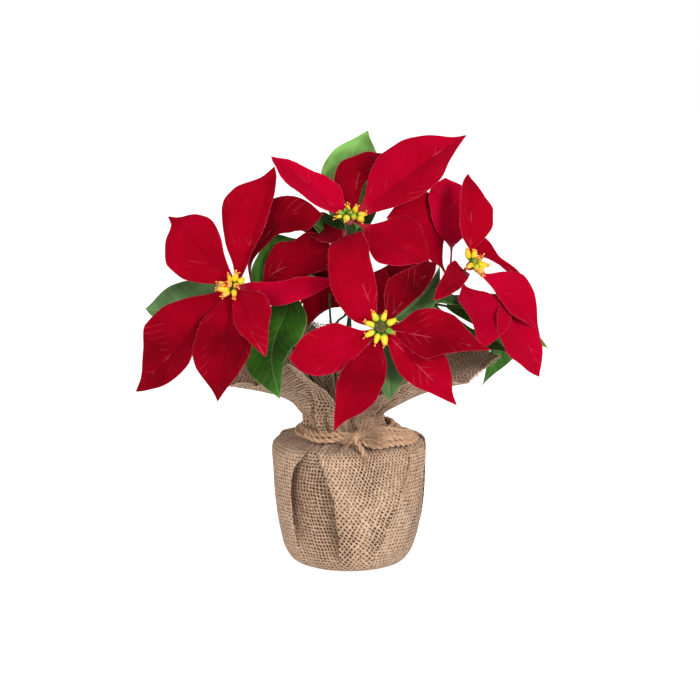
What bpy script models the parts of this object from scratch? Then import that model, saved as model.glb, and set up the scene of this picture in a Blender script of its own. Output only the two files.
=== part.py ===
"""A potted artificial poinsettia, in metres, +Z up, its front towards -Y.

Five velvet blooms stand on green stems in a small nursery pot. A square of burlap wraps the
pot, is gathered above its rim and tied there with jute twine, and flares out as a collar.
The origin lies on the surface, under the middle of the pot. Sizes here are in millimetres,
and MM turns them into metres.
"""

import math
from collections import namedtuple

import bmesh
import bpy
import numpy as np

MM = 0.001
GAP = 0.35

POT_WALL = 1.6
POT_FLOOR = 2.0
POT_BOTTOM = 1.9
POT_PROFILE = ((33.5, POT_BOTTOM), (40.4, 9.0), (44.2, 24.0), (46.4, 60.0), (46.8, 79.0))

PLUG_TOP = 73.0
PLUG_HOLE_FLOOR = 40.0

CLOTH = 1.0
CLOTH_FOOT = 33.0
CLOTH_PLEATS = 12
NECK_RADIUS = 24.5
NECK_HEIGHT = 100.0
COLLAR_ROWS = 5
AROUND = 48

# The wrapped body below the neck, from the foot's edge up: radius, height, pleat depth.
WRAP_PROFILE = (
    (38.5, 3.2, 0.0),
    (43.6, 11.0, 0.2),
    (47.2, 26.0, 0.4),
    (50.1, 66.0, 0.8),
    (50.3, 77.0, 1.0),
    (47.6, 82.4, 1.1),
    (38.0, 87.8, 1.5),
    (29.5, 92.0, 1.9),
    (NECK_RADIUS, NECK_HEIGHT, 2.0),
)

# The collar's rim, seen from above: direction in degrees from +X, reach from the middle, height.
COLLAR_RIM = (
    (0, 96, 136),
    (25, 84, 150),
    (55, 66, 150),
    (90, 56, 142),
    (120, 56, 153),
    (150, 66, 142),
    (178, 80, 119),
    (205, 66, 124),
    (224, 53, 138),
    (242, 36, 122),
    (258, 29, 107),
    (283, 29, 106),
    (302, 38, 118),
    (320, 54, 130),
    (342, 82, 126),
)

TWINE_RADIUS = 1.7
STEM_RADIUS = 1.7
BRACT_THICKNESS = 0.8
LEAF_THICKNESS = 0.8
CORE_RADIUS = 4.2
CORE_BELOW = 4.5
CORE_ABOVE = 1.6
HOLE_RADIUS = STEM_RADIUS + 0.5

# A stem leaves the plug upright for STEM_UPRIGHT, pulled by these lengths at its two ends.
STEM_UPRIGHT = 6.0
FOOT_PULL = 45.0
BLOOM_PULL = 30.0

# The cluster in a bloom's middle: its stalk, its knob, and its buds as half-sizes.
CLUSTER_STALK = 3.2
KNOB_SHARE = 0.64
KNOB_DEPTH = 3.0
BUD_SIZE = (2.2, 2.2, 4.0)
BUD_REACH = 0.86
BUD_LEAN = 0.9

# Turns of twine as centre and radius, then the knot and its two ends.
TWINE_TURNS = (((0.4, -0.4), 29.8), ((2.2, -2.0), 32.4), ((5.4, -5.6), 37.3))
KNOT = (8.0, -41.0, 92.5)
KNOT_SIZE = (5.0, 3.6, 4.2)
TWINE_ENDS = (
    (KNOT, (2.0, -46.0, 90.5), (-2.0, -49.5, 87.5)),
    (KNOT, (13.0, -46.5, 89.5), (15.0, -50.5, 85.5)),
)

# A blade runs from its root to tip (an offset from the bloom's centre). It has its greatest
# width at belly (0 to 1), bows towards its face by bow and clockwise across it by sway, folds
# up at its midrib by fold degrees, is rolled about its length by roll degrees, and starts
# with a bare stalk of that share.
Blade = namedtuple("Blade", "tip width bow fold roll belly stalk sway")


def blade(tip, width, bow=4.0, fold=14.0, roll=0.0, belly=0.5, stalk=0.08, sway=0.0):
    return Blade(tip, width, bow, fold, roll, belly, stalk, sway)


# A leaf comes with the share of its stem's length at which it grows. Buds are the radius of
# their ring and how many stand in it.
Bloom = namedtuple("Bloom", "centre axis foot bracts leaves buds")

BLOOMS = {
    "left": Bloom(
        centre=(-74, -18, 188),
        axis=(-0.35, -0.85, 0.35),
        foot=(-12, -4),
        bracts=(
            blade((50, 16, 50), 26, bow=3, stalk=0.28, sway=-3),
            blade((66, 12, 22), 40, bow=3, stalk=0.12, sway=-3),
            blade((68, -6, 4), 31, bow=3),
            blade((25, 16, 76), 35, bow=4, belly=0.55, sway=3),
            blade((-45, 20, 43), 39, bow=6),
            blade((-66, -3, -69), 38, bow=7, belly=0.55, sway=-4),
            blade((-11, -29, -70), 38, bow=5, belly=0.6, sway=-3),
            blade((20, -38, -39), 27, bow=5),
        ),
        leaves=(
            (0.86, blade((-61, 22, -18), 38, bow=3, sway=-3)),
            (0.82, blade((29, -31, -68), 44, bow=5, fold=8, sway=-8)),
            (0.90, blade((40, 25, 28), 26, bow=3, fold=30)),
        ),
        buds=(6.0, 7),
    ),
    "top": Bloom(
        centre=(1, -5, 230),
        axis=(0.1, -0.65, 0.75),
        foot=(3, 12),
        bracts=(
            blade((23, 40, 41), 40, bow=3, sway=-3),
            blade((-44, -7, -7), 26, bow=4, fold=30),
            blade((-51, 12, 38), 30, bow=1, belly=0.58, sway=-3),
            blade((76, 25, 54), 36, bow=5, belly=0.55, stalk=0.12, sway=2),
            blade((52, -21, -27), 40, bow=4, belly=0.58, stalk=0.2, sway=3),
        ),
        leaves=(
            (0.86, blade((12, 58, 54), 38, bow=4, sway=-9)),
            (0.90, blade((-32, 4, 4), 22, bow=3)),
            (0.88, blade((17, 46, 24), 18, bow=2)),
        ),
        buds=(6.5, 7),
    ),
    "right": Bloom(
        centre=(80, -8, 200),
        axis=(0.45, -0.75, 0.45),
        foot=(13, -2),
        bracts=(
            blade((-15, 38, 54), 42, bow=4, belly=0.6, stalk=0.32, sway=-3),
            blade((-54, 9, 31), 32, bow=4, sway=3),
            blade((39, 22, -15), 22, bow=3, roll=30),
            blade((-1, 22, 58), 27, bow=4, sway=-1),
            blade((47, 0, -47), 27, bow=4, stalk=0.14),
            blade((43, -16, -72), 32, bow=4, stalk=0.26),
            blade((4, -32, -48), 32, bow=4, stalk=0.16, sway=3),
            blade((-24, -37, -16), 24, bow=3),
        ),
        leaves=(
            (0.86, blade((54, 19, -58), 24, bow=3)),
            (0.80, blade((28, -4, -57), 18, bow=3)),
            (0.80, blade((9, -20, -76), 26, bow=3, fold=30)),
            (0.88, blade((-23, -16, -22), 24, bow=3)),
        ),
        buds=(6.0, 7),
    ),
    "front": Bloom(
        centre=(20, -53, 166),
        axis=(0.03, -0.97, 0.22),
        foot=(2, -13),
        bracts=(
            blade((37, 32, 38), 30, bow=3),
            blade((-25, 36, 54), 38, bow=11, belly=0.58, fold=8),
            blade((-57, -12, -17), 32, bow=3, belly=0.6, sway=-4),
            blade((70, -1, -14), 33, bow=5),
            blade((48, -13, -47), 35, bow=5),
            blade((-29, -21, -62), 38, bow=5, belly=0.52),
        ),
        leaves=(
            (0.88, blade((39, 40, 34), 30, bow=3, sway=5)),
            (0.86, blade((5, -6, -46), 26, bow=3, sway=-3)),
        ),
        buds=(8.2, 8),
    ),
    "back": Bloom(
        centre=(2, 46, 184),
        axis=(0.05, 0.62, 0.78),
        foot=(-6, 10),
        bracts=(
            blade((-30, -14, 26), 30),
            blade((30, -12, 26), 30),
            blade((-60, 8, 0), 32),
            blade((60, 10, -4), 32),
            blade((-36, 48, -24), 36, bow=6),
            blade((38, 48, -26), 36, bow=6),
            blade((2, 56, -34), 36, bow=6),
        ),
        leaves=(
            (0.84, blade((-60, 28, -20), 32)),
            (0.84, blade((60, 30, -24), 32)),
            (0.86, blade((22, 54, -44), 30)),
        ),
        buds=(7.0, 7),
    ),
}

# Where a blade's rows lie along it, and its columns across it.
BLADE_ROWS = (0.0, 0.11, 0.26, 0.44, 0.62, 0.82, 1.0)
BRACT_COLUMNS = (-1.0, -0.5, 0.0, 0.5, 1.0)
LEAF_COLUMNS = (-1.0, 0.0, 1.0)
STALK_WIDTH = 2.6
TIP_WIDTH = 0.7

COLOURS = {
    "bract": ((0.42, 0.0, 0.025), 0.85),
    "leaf": ((0.05, 0.17, 0.012), 0.55),
    "bud": ((0.75, 0.52, 0.02), 0.5),
    "burlap": ((0.50, 0.31, 0.17), 0.95),
    "twine": ((0.52, 0.30, 0.12), 0.95),
    "pot": ((0.02, 0.02, 0.02), 0.6),
    "plug": ((0.35, 0.33, 0.30), 0.9),
}


def clear_scene():
    for obj in list(bpy.data.objects):
        bpy.data.objects.remove(obj, do_unlink=True)


def material(name):
    """The Principled material of one of the colours above."""
    made = bpy.data.materials.get(name)
    if made is None:
        colour, roughness = COLOURS[name]
        made = bpy.data.materials.new(name)
        made.use_nodes = True
        shader = made.node_tree.nodes["Principled BSDF"]
        shader.inputs["Base Color"].default_value = (*colour, 1.0)
        shader.inputs["Roughness"].default_value = roughness
        shader.inputs["Metallic"].default_value = 0.0
    return made


def unit(vector):
    """The vector at length 1."""
    vector = np.asarray(vector, float)
    return vector / np.linalg.norm(vector)


def collection(name):
    """The collection of this name under the scene, made if it isn't there."""
    made = bpy.data.collections.get(name)
    if made is None:
        made = bpy.data.collections.new(name)
        bpy.context.scene.collection.children.link(made)
    return made


def object_of(name, mesh, colour, place=None):
    """An object of this mesh, in the plant's collection or the one named by place."""
    obj = bpy.data.objects.new(name, mesh)
    mesh.materials.clear()
    mesh.materials.append(material(colour))
    collection(place or "poinsettia").objects.link(obj)
    return obj


def mesh_of(name, points, faces):
    """A mesh from points in millimetres."""
    mesh = bpy.data.meshes.new(name)
    mesh.from_pydata((np.asarray(points) * MM).tolist(), [], [tuple(map(int, f)) for f in faces])
    return mesh


def turned(axis):
    """A rotation that carries +Z to the axis, as a 3 by 3 array of columns."""
    z = unit(axis)
    x = unit(np.cross((0.0, 1.0, 0.0) if abs(z[1]) < 0.9 else (1.0, 0.0, 0.0), z))
    return np.stack([x, np.cross(z, x), z], axis=1)


def primitive(name, make, centre, axis, stretch=(1, 1, 1)):
    """A bmesh primitive, stretched, turned so that its Z is the axis, and put at the centre."""
    bm = bmesh.new()
    make(bm)
    spin = turned(axis)
    for vert in bm.verts:
        local = np.array(vert.co) * stretch
        vert.co = (spin @ local + np.asarray(centre, float)) * MM
    mesh = bpy.data.meshes.new(name)
    bm.to_mesh(mesh)
    bm.free()
    return mesh


def ball(name, centre, axis, stretch, around=6, rings=4):
    def make(bm):
        bmesh.ops.create_uvsphere(bm, u_segments=around, v_segments=rings, radius=1.0)

    return primitive(name, make, centre, axis, stretch)


def drum(name, centre, axis, bottom, top, depth, around=10):
    def make(bm):
        bmesh.ops.create_cone(bm, cap_ends=True, segments=around, radius1=bottom, radius2=top, depth=depth)

    return primitive(name, make, centre, axis)


def tube(name, points, radius, loop=False):
    """A closed mesh tube along these points, made as a bevelled curve: a loop, or with filled ends."""
    data = bpy.data.curves.new(name, "CURVE")
    data.dimensions = "3D"
    data.bevel_depth = radius * MM
    data.bevel_resolution = 1
    data.use_fill_caps = True
    spline = data.splines.new("POLY")
    spline.use_cyclic_u = loop
    spline.points.add(len(points) - 1)
    spline.points.foreach_set("co", np.c_[np.asarray(points) * MM, np.ones(len(points))].ravel())
    curve = bpy.data.objects.new(name, data)
    bpy.context.scene.collection.objects.link(curve)
    graph = bpy.context.evaluated_depsgraph_get()
    mesh = bpy.data.meshes.new_from_object(curve.evaluated_get(graph))
    bpy.data.objects.remove(curve)
    bm = bmesh.new()
    bm.from_mesh(mesh)
    bmesh.ops.remove_doubles(bm, verts=bm.verts, dist=1e-6)
    bmesh.ops.recalc_face_normals(bm, faces=bm.faces)
    bm.to_mesh(mesh)
    bm.free()
    return mesh


def keep_outer_skin(mesh):
    """Drops every shell but the largest, which fills sealed hollows and drops loose scraps."""
    bm = bmesh.new()
    bm.from_mesh(mesh)
    bmesh.ops.triangulate(bm, faces=bm.faces)
    left = set(bm.faces)
    shells = []
    while left:
        shell = [left.pop()]
        for face in shell:
            for edge in face.edges:
                for other in edge.link_faces:
                    if other in left:
                        left.discard(other)
                        shell.append(other)
        shells.append(shell)
    shells.sort(key=len)
    for shell in shells[:-1]:
        bmesh.ops.delete(bm, geom=shell, context="FACES")
    bm.to_mesh(mesh)
    bm.free()


def fused(name, meshes, colour):
    """One object that is the union of these closed meshes."""
    helpers = collection(name + "_pieces")
    objects = [bpy.data.objects.new(f"{name}_{i}", mesh) for i, mesh in enumerate(meshes)]
    bpy.context.scene.collection.objects.link(objects[0])
    for obj in objects[1:]:
        helpers.objects.link(obj)
    union = objects[0].modifiers.new("union", "BOOLEAN")
    union.operation = "UNION"
    union.operand_type = "COLLECTION"
    union.collection = helpers
    union.solver = "MANIFOLD"
    graph = bpy.context.evaluated_depsgraph_get()
    mesh = bpy.data.meshes.new_from_object(objects[0].evaluated_get(graph))
    for obj in objects:
        bpy.data.objects.remove(obj)
    bpy.data.collections.remove(helpers)
    keep_outer_skin(mesh)
    return object_of(name, mesh, colour)


def turn_about(vector, axis, degrees):
    """A vector turned about a unit axis."""
    angle = math.radians(degrees)
    kept = axis * np.dot(axis, vector)
    return kept + (vector - kept) * math.cos(angle) + np.cross(axis, vector) * math.sin(angle)


def blade_mesh(name, root, centre, face, spec, thickness, columns):
    """A pointed blade: rows across a bowed midrib, folded up at it, as a thin closed loft."""
    rows = np.array(BLADE_ROWS)
    across = np.array(columns)
    start = np.asarray(root, float)
    end = np.asarray(centre, float) + spec.tip
    along = unit(end - start)
    up = turn_about(unit(face - along * np.dot(face, along)), along, spec.roll)
    arch = 6.75 * rows**2 * (1 - rows)
    spine = start + np.outer(rows, end - start)
    spine += np.outer(arch, up * spec.bow + np.cross(along, up) * spec.sway)
    tangent = np.gradient(spine, rows, axis=0)
    tangent /= np.linalg.norm(tangent, axis=1, keepdims=True)
    normal = up - tangent * (tangent @ up)[:, None]
    normal /= np.linalg.norm(normal, axis=1, keepdims=True)
    side = np.cross(tangent, normal)
    reach = np.clip((rows - spec.stalk) / (1 - spec.stalk), 0.0, 1.0)
    power = math.log(0.5) / math.log(spec.belly)
    shape = np.sin(math.pi * reach**power) ** np.where(reach < spec.belly, 0.8, 1.2)
    half = np.maximum(spec.width / 2 * shape, STALK_WIDTH / 2)
    half[-1] = TIP_WIDTH / 2
    lift = np.abs(across)[None, :] * (half * math.tan(math.radians(spec.fold)) * shape)[:, None]
    middle = (
        spine[:, None, :]
        + side[:, None, :] * (half[:, None] * across[None, :])[..., None]
        + normal[:, None, :] * lift[..., None]
    )
    top = (middle + normal[:, None, :] * thickness / 2).reshape(-1, 3)
    under = (middle - normal[:, None, :] * thickness / 2).reshape(-1, 3)
    return mesh_of(name, np.r_[top, under], slab_faces(len(rows), len(across)))


def slab_faces(rows, columns):
    """Triangles of a thin slab: a grid on top, the same grid underneath turned over, and walls."""
    faces = []
    under = rows * columns
    for i in range(rows - 1):
        for j in range(columns - 1):
            a = i * columns + j
            b, c, d = a + 1, a + columns + 1, a + columns
            split = ((a, b, c), (a, c, d)) if j < (columns - 1) / 2 else ((a, b, d), (b, c, d))
            for p, q, r in split:
                faces.append((p, q, r))
                faces.append((under + p, under + r, under + q))
    last = rows - 1
    rim = [(i, 0) for i in range(last)] + [(last, j) for j in range(columns - 1)]
    rim += [(i, columns - 1) for i in range(last, 0, -1)] + [(0, j) for j in range(columns - 1, 0, -1)]
    ring = [i * columns + j for i, j in rim]
    for a, b in zip(ring, ring[1:] + ring[:1]):
        faces.append((a, b, under + b))
        faces.append((a, under + b, under + a))
    return faces


def stem_path(bloom):
    """Points up a stem: straight in the plug, then a cubic curve that ends along the bloom's axis."""
    axis = unit(bloom.axis)
    end = np.array(bloom.centre, float) - axis * (CORE_BELOW + GAP)
    foot = np.array([*bloom.foot, PLUG_HOLE_FLOOR + GAP])
    start = np.array([*bloom.foot, PLUG_TOP + STEM_UPRIGHT])
    first = start + (0.0, 0.0, FOOT_PULL)
    second = end - axis * BLOOM_PULL
    t = np.linspace(0.0, 1.0, 10)[:, None]
    curve = (1 - t) ** 3 * start + 3 * (1 - t) ** 2 * t * first + 3 * (1 - t) * t**2 * second + t**3 * end
    return np.vstack([foot, curve])


def point_on(path, share):
    """The point at this share of a path's length."""
    lengths = np.r_[0.0, np.cumsum(np.linalg.norm(np.diff(path, axis=0), axis=1))]
    return np.array([np.interp(share * lengths[-1], lengths, path[:, i]) for i in range(3)])


def leafy_stem(name, bloom):
    """A bloom's stem with its green leaves."""
    path = stem_path(bloom)
    pieces = [tube(name, path, STEM_RADIUS)]
    axis = unit(bloom.axis)
    for i, (share, spec) in enumerate(bloom.leaves):
        root = point_on(path, share)
        leaf = blade_mesh(f"{name}_leaf_{i}", root, bloom.centre, axis, spec, LEAF_THICKNESS, LEAF_COLUMNS)
        pieces.append(leaf)
    return fused(name + "_stem", pieces, "leaf")


def bract_whorl(name, bloom):
    """The coloured bracts, lowest first, out of a small core on the bloom's axis."""
    axis = unit(bloom.axis)
    centre = np.array(bloom.centre, float)
    depth = CORE_BELOW + CORE_ABOVE
    middle = centre + axis * (CORE_ABOVE - CORE_BELOW) / 2
    pieces = [drum(name, middle, axis, CORE_RADIUS * 0.7, CORE_RADIUS, depth)]
    heights = np.linspace(-CORE_BELOW + 1.4, CORE_ABOVE - 1.0, len(bloom.bracts))
    for i, (height, spec) in enumerate(zip(heights, bloom.bracts)):
        root = centre + axis * height
        bract = blade_mesh(f"{name}_bract_{i}", root, centre, axis, spec, BRACT_THICKNESS, BRACT_COLUMNS)
        pieces.append(bract)
    return fused(name + "_bracts", pieces, "bract")


def bud_cluster(name, bloom):
    """The small yellow flowers: a ring of plump buds that lean out round a knob on a short stalk."""
    axis = unit(bloom.axis)
    base = np.array(bloom.centre, float) + axis * (CORE_ABOVE + GAP)
    ring, count = bloom.buds
    across = turned(axis)
    stalk = drum(name, base + axis * CLUSTER_STALK / 2, axis, 2.4, 3.4, CLUSTER_STALK, around=8)
    knob_size = (KNOB_SHARE * ring, KNOB_SHARE * ring, KNOB_DEPTH)
    knob = ball(name, base + axis * (CLUSTER_STALK + 1.4), axis, knob_size, around=8, rings=5)
    pieces = [stalk, knob]
    for i in range(count):
        angle = 2 * math.pi * i / count
        out = across[:, 0] * math.cos(angle) + across[:, 1] * math.sin(angle)
        lean = unit(axis * BUD_LEAN + out)
        place = base + axis * (CLUSTER_STALK + 1.0 + 0.35 * ring) + out * (ring * BUD_REACH)
        pieces.append(ball(f"{name}_bud_{i}", place, lean, BUD_SIZE, around=5))
    return fused(name + "_cyathia", pieces, "bud")


def turned_object(name, profile, colour, steps=28):
    """A profile of radius and height, inner side first, spun about Z by a Screw modifier."""
    points = [(radius, 0.0, height) for radius, height in profile]
    mesh = bpy.data.meshes.new(name)
    edges = [(i, i + 1) for i in range(len(points) - 1)]
    mesh.from_pydata((np.array(points) * MM).tolist(), edges, [])
    obj = object_of(name, mesh, colour)
    screw = obj.modifiers.new("turn", "SCREW")
    screw.steps = steps
    screw.render_steps = steps
    screw.use_merge_vertices = True
    screw.merge_threshold = 1e-5
    return obj


def nursery_pot():
    """An open pot: up the inside from the middle of its floor, over the rim, down the outside."""
    inside = [(radius - POT_WALL, height) for radius, height in POT_PROFILE]
    inside[0] = (POT_PROFILE[0][0] - POT_WALL, POT_BOTTOM + POT_FLOOR)
    profile = [(0.0, POT_BOTTOM + POT_FLOOR), *inside, *reversed(POT_PROFILE), (0.0, POT_BOTTOM)]
    return turned_object("nursery_pot", profile, "pot")


def filler_plug():
    """The weighted plug that fills the pot, with a plain hole for each stem."""
    wall = [(radius - POT_WALL - GAP, height) for radius, height in POT_PROFILE]
    floor = POT_BOTTOM + POT_FLOOR + GAP
    heights = [height for _, height in wall]
    radii = [radius for radius, _ in wall]
    top = float(np.interp(PLUG_TOP, heights, radii))
    rising = [(radius, height) for radius, height in wall[1:] if height < PLUG_TOP]
    foot = radii[0] - 0.3
    profile = [(0.0, PLUG_TOP), (top - 1.5, PLUG_TOP), (top, PLUG_TOP - 1.5), *reversed(rising)]
    profile += [(foot, floor), (0.0, floor)]
    plug = turned_object("filler_plug", profile, "plug")
    for name, bloom in BLOOMS.items():
        mouth = PLUG_TOP + 4.0
        middle = (*bloom.foot, (PLUG_HOLE_FLOOR + mouth) / 2)
        depth = mouth - PLUG_HOLE_FLOOR
        mesh = drum(name + "_hole", middle, (0, 0, 1), HOLE_RADIUS, HOLE_RADIUS, depth)
        cutter = object_of(name + "_hole", mesh, "plug", place="cutters")
        cutter.hide_render = True
        cutter.display_type = "WIRE"
        cut = plug.modifiers.new(name + "_hole", "BOOLEAN")
        cut.operation = "DIFFERENCE"
        cut.object = cutter
    return plug


def around_rim(angles, column):
    """A column of COLLAR_RIM as a smooth closed function of direction, by cosine easing."""
    table = np.array(COLLAR_RIM, float)
    at = np.r_[table[:, 0], table[0, 0] + 360.0]
    value = np.r_[table[:, column], table[0, column]]
    degrees = np.degrees(angles) % 360.0
    index = np.searchsorted(at, degrees, side="right") - 1
    share = (degrees - at[index]) / (at[index + 1] - at[index])
    ease = (1 - np.cos(math.pi * share)) / 2
    return value[index] * (1 - ease) + value[index + 1] * ease


def burlap_wrap():
    """The burlap: flat under the pot, up its wall, in to the neck and out into the collar."""
    angles = np.arange(AROUND) * 2 * math.pi / AROUND
    radial = np.stack([np.cos(angles), np.sin(angles), np.zeros(AROUND)], axis=1)
    pleat = np.cos(CLOTH_PLEATS * angles)
    rows = [radial * (CLOTH_FOOT * share) for share in (0.5, 1.0)]
    for radius, height, depth in WRAP_PROFILE:
        rows.append(radial * (radius + depth * pleat)[:, None] + (0.0, 0.0, height))
    reach = around_rim(angles, 1)
    rise = around_rim(angles, 2)
    for share in np.arange(1, COLLAR_ROWS + 1) / COLLAR_ROWS:
        out = reach - NECK_RADIUS
        lift = rise - NECK_HEIGHT
        pull = 2 * share * (1 - share)
        radius = NECK_RADIUS + out * (pull * 0.34 + share**2)
        height = NECK_HEIGHT + (lift * 0.5 + 4.0) * pull + lift * share**2
        depth = 2.0 * (1 - share) + 1.4 * share
        rows.append(radial * (radius + depth * pleat)[:, None] + np.outer(height, (0.0, 0.0, 1.0)))
    points = np.vstack([np.zeros((1, 3)), *rows])
    faces = [(0, 1 + (j + 1) % AROUND, 1 + j) for j in range(AROUND)]
    for i in range(len(rows) - 1):
        for j in range(AROUND):
            a = 1 + i * AROUND + j
            b = 1 + i * AROUND + (j + 1) % AROUND
            faces.append((a, b, b + AROUND, a + AROUND))
    wrap = object_of("burlap_wrap", mesh_of("burlap_wrap", points, faces), "burlap")
    thick = wrap.modifiers.new("thickness", "SOLIDIFY")
    thick.thickness = CLOTH * MM
    thick.offset = -1.0
    return wrap


def resting_height(radius, clear):
    """How high a strand's middle lies, clear of the gathered cloth's crests from rim to neck."""
    crest = np.array([(reach + depth, height) for reach, height, depth in WRAP_PROFILE[4:]])
    along = np.gradient(crest, axis=0)
    outward = np.stack([along[:, 1], -along[:, 0]], axis=1)
    offset = crest + clear * outward / np.linalg.norm(outward, axis=1, keepdims=True)
    return np.interp(radius, offset[::-1, 0], offset[::-1, 1])


def twine_loop(name, centre, radius, points=24):
    """A closed loop of twine that lies on the gathered cloth."""
    angles = np.linspace(0.0, 2 * math.pi, points, endpoint=False)
    x = centre[0] + radius * np.cos(angles)
    y = centre[1] + radius * np.sin(angles)
    z = resting_height(np.hypot(x, y), TWINE_RADIUS + 0.6)
    return tube(name, np.stack([x, y, z], axis=1), TWINE_RADIUS, loop=True)


def jute_twine():
    """The twine: three turns round the neck, a knot in front and two short ends."""
    meshes = [twine_loop(f"turn_{i}", *turn) for i, turn in enumerate(TWINE_TURNS)]
    meshes.append(ball("knot", KNOT, (1, 0, 0), KNOT_SIZE, around=8, rings=5))
    meshes += [tube(f"end_{i}", end, TWINE_RADIUS * 0.8) for i, end in enumerate(TWINE_ENDS)]
    return fused("jute_twine", meshes, "twine")


def main():
    clear_scene()
    nursery_pot()
    filler_plug()
    burlap_wrap()
    jute_twine()
    for name, bloom in BLOOMS.items():
        leafy_stem(name, bloom)
        bract_whorl(name, bloom)
        bud_cluster(name, bloom)


main()
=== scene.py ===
import math
from collections import namedtuple

import bpy
import numpy as np
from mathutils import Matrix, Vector


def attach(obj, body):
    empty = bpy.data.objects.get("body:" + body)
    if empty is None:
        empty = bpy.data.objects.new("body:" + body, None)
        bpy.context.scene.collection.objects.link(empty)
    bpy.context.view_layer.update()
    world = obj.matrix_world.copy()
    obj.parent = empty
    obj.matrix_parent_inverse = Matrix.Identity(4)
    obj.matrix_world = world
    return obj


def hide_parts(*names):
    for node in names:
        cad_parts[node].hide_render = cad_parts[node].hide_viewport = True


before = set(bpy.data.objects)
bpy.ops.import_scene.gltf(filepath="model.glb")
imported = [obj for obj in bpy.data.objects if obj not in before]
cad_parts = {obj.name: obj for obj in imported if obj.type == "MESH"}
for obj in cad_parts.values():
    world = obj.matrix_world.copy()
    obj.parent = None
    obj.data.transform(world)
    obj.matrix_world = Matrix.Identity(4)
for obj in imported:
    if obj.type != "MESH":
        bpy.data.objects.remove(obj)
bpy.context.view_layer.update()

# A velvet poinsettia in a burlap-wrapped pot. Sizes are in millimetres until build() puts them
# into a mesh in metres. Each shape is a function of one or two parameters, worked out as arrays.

MM = 0.001
TAU = 2 * math.pi
chance = np.random.default_rng(12)

# Blooms, where the solids have them. A blade's outline is one width, for a plain pointed shape, or
# the half widths on the two sides of its midrib at the six stations between its ends, and then it
# is as lopsided as the cut cloth of the real one. Its tip, its root and the points it passes on the
# way are offsets from the bloom's centre. bow arches it towards its face and sway across it; fold
# is the slope of its sides and roll its turn about its own length, in degrees; stalk is the share
# of its length that is bare stalk. A tone of 0 is drawn by chance. A leaf also has the share of its
# stem's length at which it starts.

# A bract's tone is partly the velvet's own uneven colour and partly painted light and shade: bracts that lie
# in shade are given low tones, and some shaded ones high tones so that they look lit.
Blade = namedtuple("Blade", "tip outline bow fold roll stalk sway tone root way",
                   defaults=(4, 14, 0, 0.08, 0, 0, None, ()))
Bloom = namedtuple("Bloom", "centre axis foot bracts leaves")
STATIONS = (0.0, 0.15, 0.3, 0.45, 0.6, 0.75, 0.9, 1.0)

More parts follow.
